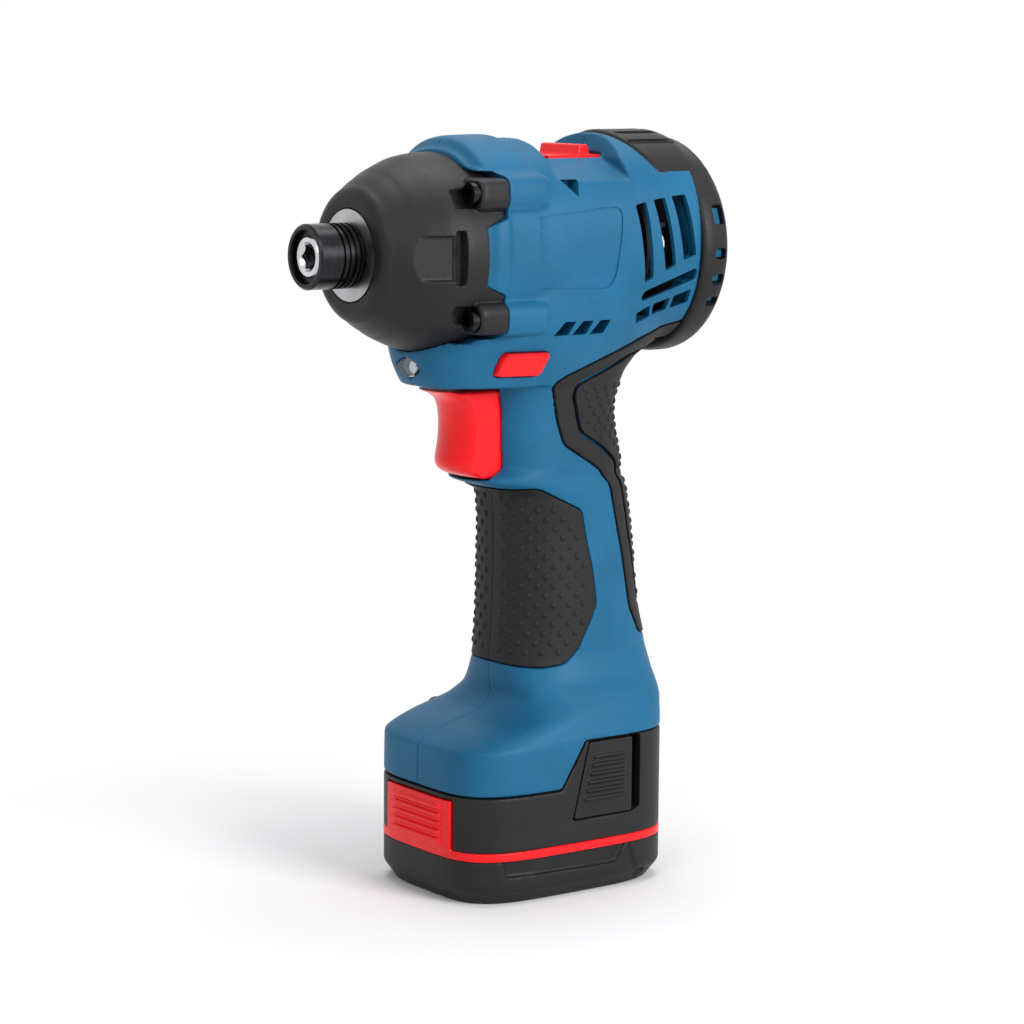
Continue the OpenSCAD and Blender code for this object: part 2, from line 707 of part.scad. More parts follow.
// Rear cap: a turned cup with a ribbed pad over the top and slots round its rim
module pad_sector(r0, r1, x0, x1, turn) intersection() {
    tube(x0, x1, r0, r1);
    along(min(x0, x1) - over, abs(x1 - x0) + 2 * over)
        polygon([[0, 0], 2 * r1 * [sin(turn), cos(turn)], [0, 2 * r1], 2 * r1 * [-sin(turn), cos(turn)]]);
}
module pad_zone(g) pad_sector(pad_r - pad_t - g, pad_r + 2 * over, cap_front - over, cap_front + pad_l + g,
    pad_turn + g);
module rear_cap() color(dark) place() difference() {
    union() {
        turned([[cap_front, 0], [cap_front, cap_r - cap_round / 3], [cap_front - cap_l / 3, cap_r],
            [rear_x + cap_round, cap_r], [rear_x + cap_round / 3, cap_r - cap_round / 3],
            [rear_x, cap_r - cap_round], [rear_x, 0]]);
        pad_sector(pad_r - pad_t, pad_r, cap_front - cap_l / 2, cap_front + pad_l, pad_turn);
        pad_sector(cap_r - cap_round, pad_r - pad_t / 2, cap_front - cap_l / 3, cap_front - cap_l / 6,
            pad_turn / 2);
    }
    tube(cap_front + seat_clear, rear_x + cap_t + sleeve_gap - seat_clear, bearing_r + wall,
        spigot_r + seat_clear);
    rod(rear_bearing_x + over, rear_bearing_x - bearing_l - seat_clear, bearing_r + press_clear);
    rod(0, rear_bearing_x, shaft_r * 2);
    for (side = [0, 180], i = [0:cap_slot_count - 1])
        rotate([side + (i - (cap_slot_count - 1) / 2) * cap_slot_step, 0, 0])
            translate([rear_x + cap_t - cap_slot_w / 2, spigot_r - over, -cap_slot_w / 2])
            cube([cap_slot_l, cap_r, cap_slot_w]);
    for (i = [-1:1]) rotate([i * pad_groove_step, 0, 0]) translate([cap_front - cap_l / 3, -pad_groove_w / 2,
        pad_r - pad_t / 3]) cube([pad_l, pad_groove_w, pad_t]);
}

// Nose: case, bush, cover and its screws
module case_outer(g) turned([[case_front + g, 0], [case_front + g, snout_r + g], [case_front - snout_l + g,
    snout_r + g], [cavity_front + g, case_ro + g - case_wall / 2], [cavity_front - case_wall + g, case_ro + g],
    [plate_front + press_clear - g, case_ro + g], [plate_front + press_clear - g, 0]]);
module hammer_case() color("#a9acb0") place() difference() {
    case_outer(0);
    rod(over, plate_front - over, anvil_r + bush_t + press_clear);
    rod(cavity_front, plate_front - over, case_ri);
    rod(planet_front + run_clear, plate_front - over, ring_out_r + press_clear);
}
module anvil_bush() color("#a8854a") place() tube(case_front - run_clear, bush_back, anvil_r + press_clear * 2,
    anvil_r + bush_t);
module cover_form(g) turned(concat([[case_front, 0]], [for (s = cover_l_shares)
    [case_front + s[0] * (cover_back - case_front), s[1] * cover_r + g]], [[cover_back, 0]]));
module cover_boss(z) hull() for (inset = boss_inset_shares) translate([0, boss_y * (1 - inset),
    z * (1 - inset)]) rod(boss_front, cover_back, boss_r);
module nose_cover() color(dark) place() difference() {
    intersection() {
        union() {
            cover_form(0);
            both_sides() for (side = [-1, 1]) cover_boss(side * boss_z);
        }
        union() {
            rod(cover_back + cover_notch, 0, cover_r * 2);
            ear_zone(0);
        }
    }
    case_outer(cover_clear);
    rod(over, case_front - snout_l, snout_r + cover_clear);
    rod(cover_back - over, cavity_front - case_wall, case_ro + cover_clear);
    both_sides() for (side = [-1, 1]) translate([0, boss_y, side * boss_z]) {
        rod(boss_front - screw_head_h, 0, screw_head_r + seat_clear);
        rod(cover_back - over, 0, screw_r + seat_clear);
    }
    floor = case_ro + window_floor;
    both_sides() translate([0, 0, -window_z]) linear_extrude(2 * window_z) polygon([
        [window_front, floor - window_ramp], [window_back + window_deep, floor + window_rise],
        [window_back + window_deep, floor], [window_back, floor], [window_back, cover_r * 2],
        [window_front, cover_r * 2]]);
}
module nose_screws() color("#2b2b2d") place() both_sides() for (side = [-1, 1])
    translate([0, boss_y, side * boss_z]) difference() {
        union() {
            rod(boss_front, boss_front - screw_head_h, screw_head_r);
            rod(boss_front, boss_front - screw_head_h - screw_l, screw_r);
        }
        translate([boss_front - screw_head_h / 2, 0, 0]) rotate([0, 90, 0])
            cylinder(h = screw_head_h, r = drive_share * screw_head_r, $fn = 6);
    }

// Output: sleeve, anvil and detents
module bit_sleeve() color("#1d1d1f") place() difference() {
    turned([[0, 0], [0, sleeve_r - rib_depth], [-rib_depth, sleeve_r], [-sleeve_l + rib_depth, sleeve_r],
        [-sleeve_l, sleeve_r - rib_depth], [-sleeve_l, 0]]);
    rod(over, -sleeve_l - over, sleeve_land_r);
    rod(over, sleeve_room_back, sleeve_room_r);
    for (i = [0:rib_count - 1]) translate([-sleeve_l / 2 - i * rib_pitch, 0, 0])
        tube(0, -rib_pitch / 2, sleeve_r - rib_depth, sleeve_r + over);
}
module sleeve_ring() color("#202022") place() tube(anvil_tip - ring_t / 2, anvil_tip - ring_t * 1.5,
    anvil_r + press_clear, sleeve_room_r - run_clear / 2);
module sleeve_spring() color(steel) place() translate([sleeve_room_back + sleeve_wire / 2 + press_clear, 0, 0])
    spring((anvil_r + 2 * sleeve_room_r) / 3, sleeve_wire, sleeve_turns,
        anvil_tip - ring_t * 1.5 - sleeve_room_back - sleeve_wire - 2 * press_clear);
module detent_balls() color(steel) place() both_sides() translate([ball_x, ball_off, 0]) sphere(detent_r);
module anvil() color("#c3c6ca") place() difference() {
    union() {
        turned([[anvil_tip, 0], [anvil_tip, anvil_r - rib_depth], [anvil_tip - rib_depth, anvil_r],
            [jaw_front + press_clear, anvil_r], [jaw_front + press_clear, flange_r], [jaw_back, flange_r],
            [jaw_back, 0]]);
        intersection() {
            rod(jaw_front, jaw_back, jaw_r);
            block(jaw_front + over, jaw_back - over, jaw_r, -jaw_w / 2, jaw_w / 2);
        }
    }
    rotate([0, 90, 0]) translate([0, 0, anvil_tip - hex_depth]) rotate([0, 0, 30])
        cylinder(h = hex_depth + over, r = hex_af / sqrt(3), $fn = 6);
    turned([[anvil_tip + over, 0], [anvil_tip + over, hex_af / 2 + hex_lead], [anvil_tip - over, hex_af / 2],
        [anvil_tip - over, 0]]);
    both_sides() translate([ball_x, hex_af / 4, 0]) rotate([-90, 0, 0]) cylinder(h = anvil_r, r = detent_r
        + press_clear * 2);
    rod(jaw_back - over, jaw_back + pilot_l, pilot_r + press_clear * 2);
}

// Hammer, spring, cam and spindle
module hammer() color("#8b8e92") place() difference() {
    union() {
        tube(hammer_front, hammer_back, spindle_r + run_clear / 2, hammer_r);
        intersection() {
            tube(hammer_front, hammer_front + lug_h, lug_in_r, hammer_r - run_clear);
            rotate([90, 0, 0]) block(hammer_back, 0, hammer_r, -lug_w / 2, lug_w / 2);
        }
    }
    tube(hammer_back - over, hammer_back + spring_pocket, hammer_spring_r - hammer_wire, hammer_spring_r
        + hammer_wire);
    for (side = [0, 180]) rotate([side, 0, 0]) translate([0, 0, spindle_r - 2 * run_clear])
        linear_extrude(cam_ball_r + 3 * run_clear)
            notch_outline(cam_ball_x - cam_ball_r - run_clear, hammer_front + over);
}
module notch_outline(x0, x1) translate([x0, -cam_ball_r - run_clear]) square([x1 - x0,
    2 * (cam_ball_r + run_clear)]);
module hammer_spring() color(steel) place() translate([carrier_front + hammer_wire / 2 + press_clear, 0, 0])
    spring(hammer_spring_r, hammer_wire, hammer_turns, hammer_back + spring_pocket - carrier_front - hammer_wire
        - 2 * press_clear);
module cam_balls() color(steel) place() for (side = [0, 180]) rotate([side, 0, 0])
    translate([cam_ball_x, 0, spindle_r]) sphere(cam_ball_r);
// A V-shaped ball track cut into the spindle
module cam_track() translate([0, 0, spindle_r - cam_ball_r - run_clear / 2])
    linear_extrude(cam_ball_r * 2) polygon([[cam_ball_x + cam_nose_share * cam_ball_r, 0],
    [cam_ball_x - run_clear, cam_ball_r * 2],
    [cam_ball_x - cam_sweep, spindle_r], [cam_ball_x - cam_sweep - cam_ball_r, spindle_r / 2],
    [cam_ball_x - cam_ball_r - run_clear, 0], [cam_ball_x - cam_sweep - cam_ball_r, -spindle_r / 2],
    [cam_ball_x - cam_sweep, -spindle_r], [cam_ball_x - run_clear, -cam_ball_r * 2]]);
module spindle() color("#9a9da1") place() difference() {
    union() {
        rod(hammer_front + run_clear, carrier_front, spindle_r);
        rod(hammer_front, jaw_back + pilot_l - run_clear, pilot_r);
        rod(carrier_front, carrier_front - disc_t, carrier_r);
        rod(carrier_back, carrier_back + disc_t, carrier_r);
        difference() {
            rod(carrier_front, carrier_back, carrier_r);
            rod(carrier_front - disc_t, carrier_back + disc_t, gear_m * pinion_teeth / 2 + gear_m + run_clear);
            around(planet_count) translate([0, 0, gear_centre]) rod(carrier_front, carrier_back,
                gear_m * planet_teeth / 2 + gear_m + run_clear);
        }
    }
    rod(carrier_front - disc_t / 2, carrier_back - over, gear_m * pinion_teeth / 2 + gear_m + run_clear);
    around(planet_count) translate([0, 0, gear_centre]) rod(carrier_front - disc_t / 2, carrier_back - over,
        pin_r + press_clear);
    for (side = [0, 180]) rotate([side, 0, 0]) cam_track();
}

// Gear stage
module gear_solid(teeth, bore) difference() {
    linear_extrude(planet_w) polygon(gear_outline(teeth, gear_m * (teeth / 2 - dedendum_share),
        gear_m * (teeth / 2 + addendum_share), tooth_share));
    translate([0, 0, -over]) cylinder(h = planet_w + 2 * over, r = bore);
}
module planet(i) color("#8f9296") place() rotate([360 * i / planet_count, 0, 0]) translate([planet_back, 0,
    gear_centre]) rotate([0, 90, 0]) rotate([0, 0, 180 / planet_teeth]) gear_solid(planet_teeth, pin_r
        + 2 * press_clear);
module planet_gear_1() planet(0);
module planet_gear_2() planet(1);
module planet_gear_3() planet(2);
module planet_pins() color(steel) place() around(planet_count) translate([0, 0, gear_centre])
    rod(carrier_front - disc_t / 2, carrier_back, pin_r);
module ring_gear() color("#77797d") place() translate([planet_back - run_clear, 0, 0]) rotate([0, 90, 0])
    difference() {
        cylinder(h = planet_w + 2 * run_clear, r = ring_out_r);
        translate([0, 0, -over]) linear_extrude(planet_w + 2 * run_clear + 2 * over)
            rotate([0, 0, 180 / ring_teeth]) polygon(gear_outline(ring_teeth, gear_m * (ring_teeth / 2
                - addendum_share), gear_m * (ring_teeth / 2 + dedendum_share), 1 - tooth_share));
    }
module pinion() color("#85888c") place() translate([planet_back, 0, 0]) rotate([0, 90, 0])
    gear_solid(pinion_teeth, shaft_r + press_clear);
module gear_plate() color("#3f4043") place() difference() {
    union() {
        rod(plate_front, plate_back, case_ro);
        rod(plate_front, front_bearing_x - bearing_l, bearing_r + wall);
    }
    rod(front_bearing_x, front_bearing_x - bearing_l - over, bearing_r + press_clear);
    rod(0, plate_back - over, shaft_r * 2);
}

// Motor
module bearing(x) color(steel) place() turned([[x, shaft_r + press_clear], [x, shaft_r + over],
    [x - run_clear, shaft_r + over], [x - run_clear, bearing_r - over], [x, bearing_r - over], [x, bearing_r],
    [x - bearing_l, bearing_r], [x - bearing_l, bearing_r - over],
    [x - bearing_l + run_clear, bearing_r - over], [x - bearing_l + run_clear, shaft_r + over],
    [x - bearing_l, shaft_r + over], [x - bearing_l, shaft_r + press_clear]]);
module front_bearing() bearing(front_bearing_x);
module rear_bearing() bearing(rear_bearing_x);
module stator_outline(g) {
    difference() {
        circle(stator_r);
        circle(stator_r - yoke_t - g);
    }
    intersection() {
        difference() {
            circle(stator_r - yoke_t / 2);
            circle(rotor_r + air_gap);
        }
        for (i = [0:slot_count - 1]) rotate(360 * i / slot_count) {
            translate([0, -tooth_w / 2 - g]) square([stator_r, tooth_w + 2 * g]);
            translate([0, -shoe_w / 2]) square([rotor_r + air_gap + shoe_t, shoe_w]);
        }
    }
}
module stator() color("#6b6d70") place() along(stator_back, stack_l) stator_outline(0);
module stator_insulators() color("#e9e6de") place() for (x = [stator_front + press_clear,
    stator_back - press_clear - coil_t]) {
    along(x, coil_t) intersection() {
        stator_outline(0);
        circle(stator_r - 2 * run_clear);
    }
    out = x > stator_back ? x : x - insulator_l + coil_t;
    tube(out, out + insulator_l, stator_r - yoke_t, stator_r - run_clear * 2);
}
module stator_coils() color(copper) place() rotate([180 / slot_count, 0, 0]) around(slot_count) difference() {
    block(stator_front + 2 * coil_t, stator_back - 2 * coil_t, tooth_w / 2 + coil_t,
        rotor_r + air_gap + shoe_t + run_clear, stator_r - yoke_t - over);
    block(stator_front + coil_t + 3 * press_clear, stator_back - coil_t - 3 * press_clear,
        tooth_w / 2 + press_clear, 0, stator_r);
}
module motor_shaft() color(steel) place() rod(planet_front, shaft_back, shaft_r);
module rotor_core() color("#5d5f62") place() difference() {
    tube(stator_front + over, stator_back - over, shaft_r + press_clear, rotor_r);
    around(pole_count) block(stator_front + 2 * over, stator_back - 2 * over, magnet_w / 2 + press_clear,
        magnet_off - press_clear, magnet_off + magnet_t + press_clear);
}
module rotor_magnets() color("#8a8d91") place() around(pole_count)
    block(stator_front, stator_back, magnet_w / 2, magnet_off, magnet_off + magnet_t);
module fan() color("#2c2c2e") place() difference() {
    union() {
        rod(fan_front, fan_front - fan_h, hub_r);
        rod(fan_front, fan_front - blade_t, fan_r);
        around(blade_count) along(fan_front - fan_h, fan_h) polygon(scaled(blade_shares, fan_r - over,
            blade_t, 0));
    }
    rod(0, rear_x, shaft_r + press_clear);
}

// Soft grips
module front_grip_left() color(dark) place() grip_skin(front_grip_shares, 0);
module front_grip_right() color(dark) place() mirror([0, 1, 0]) grip_skin(front_grip_shares, 0);
module rear_grip() difference() {
    grip_skin(rear_grip_shares, 0);
    barrel_hollow();
    pad_zone(seat_clear);
    rod(cap_front + seat_clear, rear_x, cap_r * 2);
    intersection() {
        difference() {
            union() {
                grip_form(over);
                barrel_form(over);
            }
            grip_form(-groove_w / 2);
            barrel_form(-groove_w / 2);
        }
        across(0, side_reach) difference() {
            offset(delta = groove_w / 2) polygon(scaled(groove_shares, grip_d, foot_drop, grip_x));
            offset(delta = -groove_w / 2) polygon(scaled(groove_shares, grip_d, foot_drop, grip_x));
        }
    }
}
module rear_grip_left() color(dark) place() rear_grip();
module rear_grip_right() color(dark) place() mirror([0, 1, 0]) rear_grip();

// Trigger and switch
module trigger() color(red) place() {
    difference() {
        intersection() {
            across(-trigger_w, trigger_w) translate([trigger_front, trigger_top])
                polygon([for (p = trigger_shares) [-p[0] * trigger_d, p[1] * trigger_h]]);
            translate([trigger_front - trigger_d, 0, trigger_top - trigger_h - over])
                linear_extrude(trigger_h + 2 * over) {
                    translate([0, -trigger_w]) square([trigger_d - trigger_round, 2 * trigger_w]);
                    translate([trigger_d - trigger_round, 0]) circle(trigger_round);
                }
        }
        translate([0, 0, trigger_top - trigger_h / 2]) rod(trigger_front - trigger_d - over,
            trigger_front - trigger_pocket_share * trigger_d, trigger_pocket_r);
    }
    translate([0, 0, trigger_top - trigger_h / 2]) rod(trigger_front - stem_share * trigger_d,
        switch_front - stem_l + switch_gap, stem_r);
}
module trigger_spring() color(steel) place() translate([switch_front + trigger_wire / 2 + press_clear, 0,
    trigger_top - trigger_h / 2]) spring((stem_r + trigger_pocket_r) / 2, trigger_wire, trigger_turns,
        trigger_front - trigger_pocket_share * trigger_d - switch_front - trigger_wire - 2 * press_clear);
module switch_body() color("#2a2a2c") place() difference() {
    block(switch_front, switch_front - switch_l, switch_w, trigger_top, trigger_top - trigger_h);
    translate([0, 0, trigger_top - trigger_h / 2]) rod(switch_front + over, switch_front - switch_l + wall,
        stem_r + run_clear);
}
module direction_selector() color(red) place() {
    across(-selector_out, selector_out) translate([selector_x, selector_z])
        square([bar_l, bar_h], center = true);
    both_sides() across(selector_cap_share * selector_out, selector_out) translate([selector_x, selector_z])
        polygon([[-selector_l / 2, -selector_h / 2], [selector_l / 2 - selector_lean, -selector_h / 2],
        [selector_l / 2, selector_h / 2], [-selector_l / 2 - selector_lean, selector_h / 2]]);
}
module speed_selector() color(red) place() translate([-speed_travel / 2, 0, 0]) {
    block(speed_x - speed_l / 2, speed_x + speed_l / 2, speed_w, speed_floor + seat_clear,
        speed_floor + speed_h);
    across(-tab_w_share * speed_w, tab_w_share * speed_w) translate([speed_x - tab_back,
        speed_floor + speed_h]) polygon(scaled(tab_shares, tab_l, tab_h, 0));
}

// Lamp in the chin
module lamp() color("#e8ecef") place() translate([0, 0, lamp_z]) {
    rod(lens_x - lens_t - seat_clear - lamp_r, lens_x - lens_t - lamp_l, lamp_r);
    translate([lens_x - lens_t - seat_clear - lamp_r, 0, 0]) sphere(lamp_r);
}
module lamp_lens() color("#dfe6ea") place() intersection() {
    block(lens_x - lens_t, 0, lens_w, lamp_z - lens_h, lamp_z + lens_h);
    slices_form(neck_shares, -panel_depth / 2);
}

// Board and contacts in the foot
module control_board() color("#1f5b3a") place() translate([board_x, 0, board_z + seat_clear]) {
    block(-board_l / 2, board_l / 2, board_w, 0, board_t);
    for (i = [-1:1]) translate([i * chip_pitch, 0, 0]) block(-chip_l / 2, chip_l / 2, chip_w, board_t,
        board_t + chip_h);
}
module contact_block() color("#242426") place() difference() {
    block(contact_x - contact_l / 2, contact_x + contact_l / 2, contact_w, tower_top + skin_clear,
        step_z + wall);
    both_sides() translate([contact_x, contact_y, 0]) block(-blade_l / 2 - press_clear,
        blade_l / 2 + press_clear, blade_w / 2 + press_clear, tower_top - over, step_z);
}
module contact_blades() color("#c9a35a") place() both_sides() translate([contact_x, contact_y, 0])
    block(-blade_l / 2, blade_l / 2, blade_w / 2, tower_top - blade_drop, step_z - press_clear);

// Pack
module latch_outline(g) translate([latch_x, 0]) offset(delta = g) polygon([[latch_l / 2, latch_low],
    [latch_l / 2 - latch_lean, latch_top], [-latch_l / 2, latch_top], [-latch_l / 2, latch_low]]);
module pack_cells(r, g) {
    both_sides() translate([0, cell_off, cell_low_z]) rod(foot_x - cell_l / 2 - g, foot_x + cell_l / 2 + g, r);
    translate([0, 0, cell_high_z]) rod(foot_x - cell_l / 2 - g, foot_x + cell_l / 2 + g, r);
}
module battery_case() color(dark) place() difference() {
    union() {
        intersection() {
            foot_block(band_top, step_z - skin_clear, 0);
            union() {
                step_zone(-skin_clear);
                foot_block(band_top - over, -foot_drop - skin_clear, over);
            }
        }
        foot_block(band_top, tower_top, -tower_in - skin_clear);
    }
    difference() {
        union() {
            foot_block(band_top - over, -foot_drop - skin_clear - pack_wall, -pack_wall);
            foot_block(band_top - over, tower_top - pack_wall, -tower_in - skin_clear - tower_wall);
        }
        both_sides() translate([latch_x, latch_seat_y - latch_seat_t / 2, 0]) block(-latch_l / 3, latch_l / 3,
            latch_seat_t / 2, band_top - over, tower_top);
    }
    foot_block(tower_top, step_z + over, -pack_wall);
    both_sides() across(foot_b - latch_t - latch_travel - over, foot_b + over) {
        latch_outline(skin_clear);
        translate([-latch_gap, 0]) latch_outline(0);
    }
    block(foot_x + foot_a / 2, 0, panel_w + panel_gap, band_top - over, front_panel_top + panel_gap);
    both_sides() translate([contact_x, contact_y, 0]) block(-blade_l / 2 - run_clear, blade_l / 2 + run_clear,
        blade_w / 2 + run_clear, tower_top - blade_drop, tower_top + over);
    pack_cells(cell_r + press_clear, press_clear);
}
module battery_band() color(red) place() {
    difference() {
        foot_block(band_top - band_h, band_top, panel_proud / 2);
        foot_block(band_top - band_h - over, band_top + over, -pack_wall);
        pack_cells(cell_r + press_clear, press_clear);
    }
    intersection() {
        difference() {
            foot_block(band_top - band_h / 2, front_panel_top, panel_proud);
            foot_block(band_top - band_h, front_panel_top + over, -pack_wall);
            pack_cells(cell_r + press_clear, press_clear);
        }
        block(foot_x + foot_a / 2, 0, panel_w, band_top - band_h, front_panel_top);
    }
    intersection() {
        difference() {
            foot_block(band_top, front_panel_top, 2 * panel_proud);
            foot_block(band_top - over, front_panel_top + over, -panel_proud);
        }
        for (i = [0:panel_ribs - 1]) block(foot_x + foot_a / 2, 0, rib_w_share * panel_w, band_top + (2 * i + 1)
            * panel_rib_h, band_top + (2 * i + 2) * panel_rib_h);
    }
}
module battery_tray() color("#2f2f31") place() difference() {
    hull() {
        foot_block(-axis_h, -axis_h + slice, -tray_chamfer);
        foot_block(-axis_h + tray_chamfer_h, -axis_h + tray_h, 0);
    }
    difference() {
        foot_block(-axis_h + pack_wall, -axis_h + tray_h + over, -pack_wall - tray_chamfer / 4);
        for (s = cradle_shares) translate([foot_x + s * cell_l / 2, 0, 0]) block(-cradle_t / 2, cradle_t / 2,
            cell_off * 2, -axis_h, cell_low_z - cell_r / 2);
    }
    pack_cells(cell_r + press_clear, press_clear);
}
module battery_cells() color("#4f8f6a") place() pack_cells(cell_r, 0);
module battery_contacts() color("#c9a35a") place() both_sides() translate([contact_x, contact_y, 0])
    difference() {
        block(-blade_l / 2, blade_l / 2, blade_w / 2 + run_clear + clip_t,
            tower_top - blade_drop - clip_t - run_clear, tower_top - pack_wall - press_clear);
        block(-blade_l, blade_l, blade_w / 2 + run_clear / 2, tower_top - blade_drop - run_clear, tower_top);
    }
module latch() {
    intersection() {
        difference() {
            foot_block(latch_low, latch_top, 0);
            foot_block(latch_low - over, latch_top + over, -latch_t);
        }
        across(0, foot_b + over) latch_outline(0);
    }
    intersection() {
        difference() {
            foot_block(latch_low, latch_top, panel_proud);
            foot_block(latch_low - over, latch_top + over, -panel_proud);
        }
        across(0, foot_b + over) for (i = [0:latch_ribs - 1]) translate([latch_x - latch_rib_share * latch_l,
            latch_low + latch_rib_h * (2 * i + 3)]) square([2 * latch_rib_share * latch_l, latch_rib_h]);
    }
}
module latch_spring() translate([latch_x, foot_b - latch_t - latch_wire / 2 - press_clear,
    (latch_low + tower_top) / 2]) rotate([0, 0, -90]) spring(latch_spring_r, latch_wire, latch_turns,
        foot_b - latch_t - latch_seat_y - latch_wire);
module latch_left() color(dark) place() latch();
module latch_right() color(dark) place() mirror([0, 1, 0]) latch();
module latch_spring_left() color(steel) place() latch_spring();
module latch_spring_right() color(steel) place() mirror([0, 1, 0]) latch_spring();

bit_sleeve();
sleeve_spring();
sleeve_ring();
detent_balls();
anvil();
anvil_bush();
hammer_case();
nose_cover();
nose_screws();
hammer();
hammer_spring();
cam_balls();
spindle();
planet_gear_1();
planet_gear_2();
planet_gear_3();
planet_pins();
ring_gear();
gear_plate();
front_bearing();
rear_bearing();
stator();
stator_insulators();
stator_coils();
motor_shaft();
rotor_core();
rotor_magnets();
pinion();
fan();
housing_left();
housing_right();
housing_screws();
rear_cap();
front_grip_left();
front_grip_right();
rear_grip_left();
rear_grip_right();
trigger();
trigger_spring();
switch_body();
direction_selector();
speed_selector();
lamp();
lamp_lens();
control_board();
contact_block();
contact_blades();
battery_case();
battery_band();
battery_tray();
battery_cells();
battery_contacts();
latch_left();
latch_right();
latch_spring_left();
latch_spring_right();
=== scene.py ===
# %% [markdown]
# # A cordless impact driver, dressed in Blender
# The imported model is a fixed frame: every solid already sits where it belongs, in metres. This lesson
# keeps the machined parts as they are and gives the moulded parts smooth surfaces of their own. Places
# are written in the maker's way, in millimetres from the front of the bit sleeve (x) and from the barrel
# axis (z), and one function turns them into the frame's metres.

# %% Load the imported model
import json
import bmesh
import bpy
import numpy as np
from mathutils import Matrix, Vector


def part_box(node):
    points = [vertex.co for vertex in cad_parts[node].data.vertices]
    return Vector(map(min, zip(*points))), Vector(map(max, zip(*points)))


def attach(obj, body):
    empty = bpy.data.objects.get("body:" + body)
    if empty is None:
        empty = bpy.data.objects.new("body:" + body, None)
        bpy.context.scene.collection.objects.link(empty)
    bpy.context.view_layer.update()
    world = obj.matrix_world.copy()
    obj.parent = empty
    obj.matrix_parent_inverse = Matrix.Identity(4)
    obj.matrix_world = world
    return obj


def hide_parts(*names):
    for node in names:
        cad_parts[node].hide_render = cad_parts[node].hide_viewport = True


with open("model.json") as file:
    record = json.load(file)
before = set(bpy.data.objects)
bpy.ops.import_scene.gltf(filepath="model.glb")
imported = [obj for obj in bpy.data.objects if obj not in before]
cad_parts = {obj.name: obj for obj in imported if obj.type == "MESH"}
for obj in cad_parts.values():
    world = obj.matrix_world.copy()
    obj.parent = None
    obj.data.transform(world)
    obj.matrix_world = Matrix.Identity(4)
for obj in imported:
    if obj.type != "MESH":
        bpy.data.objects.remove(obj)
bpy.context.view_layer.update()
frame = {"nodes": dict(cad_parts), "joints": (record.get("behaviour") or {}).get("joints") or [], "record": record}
JOINTS = {joint["name"]: joint for joint in frame["joints"]}
AXIS_H = JOINTS["spindle_spin"]["pos_m"][2] * 1000
HALF_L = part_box("bit_sleeve")[1].x * 1000
print("nodes", len(frame["nodes"]), "axis height", round(AXIS_H, 2), "half length", round(HALF_L, 2))

# %% [markdown]
# ## Camera
# The photograph was taken with a long lens from the front left, a little above the tool. The camera's
# direction, distance and lens were fitted to the sleeve, the nose, the foot and the pack, so the view is
# set from those numbers: a direction from two angles, then a small roll about the line of sight.

# %% Camera at the photograph's viewing angle
AZIMUTH, ELEVATION, ROLL = np.radians([143.98, 8.46, 0.43])
TARGET = np.array([-7.31, 0.0, 104.09])
DISTANCE = 894.54
along_ground = np.cos(ELEVATION)
back = np.array([np.sin(AZIMUTH) * along_ground, -np.cos(AZIMUTH) * along_ground, np.sin(ELEVATION)])
level = np.cross(-back, [0, 0, 1])
level /= np.linalg.norm(level)
upward = np.cross(level, -back)
across_view = np.cos(ROLL) * level + np.sin(ROLL) * upward
up_view = np.cos(ROLL) * upward - np.sin(ROLL) * level
stand = (TARGET + DISTANCE * back) / 1000
camera_data = bpy.data.cameras.new("camera")
camera_data.lens = 112.97
camera_data.sensor_width = 36
camera_data.sensor_fit = "HORIZONTAL"
camera_data.clip_start = 0.01
camera = bpy.data.objects.new("camera", camera_data)
turn = np.eye(4)
turn[:3, :4] = np.column_stack([across_view, up_view, back, stand])
camera.matrix_world = Matrix(turn.tolist())
bpy.context.scene.collection.objects.link(camera)
bpy.context.scene.camera = camera
print("camera stands at", np.round(stand, 3))

# %% [markdown]
# ## Surfaces from numbers
# A moulded part is a skin over a grid of points. Here are the few ways of getting such a grid: a ring with
# squared-off sides, a smooth curve through a table of sizes, and an outline with eased corners. Working
# with whole arrays keeps the formulas short and gives the same mesh on every run.

# %% Grids and skins


def to_frame(points):
    """Millimetres from the sleeve's front and the barrel axis become metres in the shared frame."""
    return (np.asarray(points, float) + [HALF_L, 0, AXIS_H]) / 1000


def grid(x, y, z):
    """Three arrays of places, spread to one shape, become one array of points."""
    return np.stack(np.broadcast_arrays(x, y, z), axis=-1)


def outward(mesh):
    """Merges doubled points and turns every face outwards."""
    work = bmesh.new()
    work.from_mesh(mesh)
    bmesh.ops.remove_doubles(work, verts=work.verts, dist=1e-7)
    bmesh.ops.recalc_face_normals(work, faces=work.faces)
    work.to_mesh(mesh)
    work.free()


def placed(name, data):
    """A new object in the scene, for a mesh or a lamp."""
    piece = bpy.data.objects.new(name, data)
    bpy.context.scene.collection.objects.link(piece)
    return piece


def meshed(name, points, faces):
    """A surface from points in millimetres and the faces between them."""
    mesh = bpy.data.meshes.new(name)
    mesh.from_pydata(to_frame(points.reshape(-1, 3)).tolist(), [], faces)
    outward(mesh)
    return placed(name, mesh)


def skin(name, points, closed=False):
    """A grid of points [u, v] becomes quads between neighbours: v runs round and closes on itself, and u
    either closes too or ends in a flat face at each end."""
    count_u, count_v = points.shape[:2]
    index = np.arange(count_u * count_v).reshape(count_u, count_v)
    rows = np.vstack([index, index[:1]]) if closed else index
    beside = np.roll(rows, -1, axis=1)
    quads = np.stack([rows[:-1], beside[:-1], beside[1:], rows[1:]], axis=-1).reshape(-1, 4)
    ends = [] if closed else [index[0][::-1].tolist(), index[-1].tolist()]
    return meshed(name, points, quads.tolist() + ends)


print("front of the sleeve lies at", np.round(to_frame([0, 0, 0]), 4))

# %% Rings, smooth tables and eased outlines


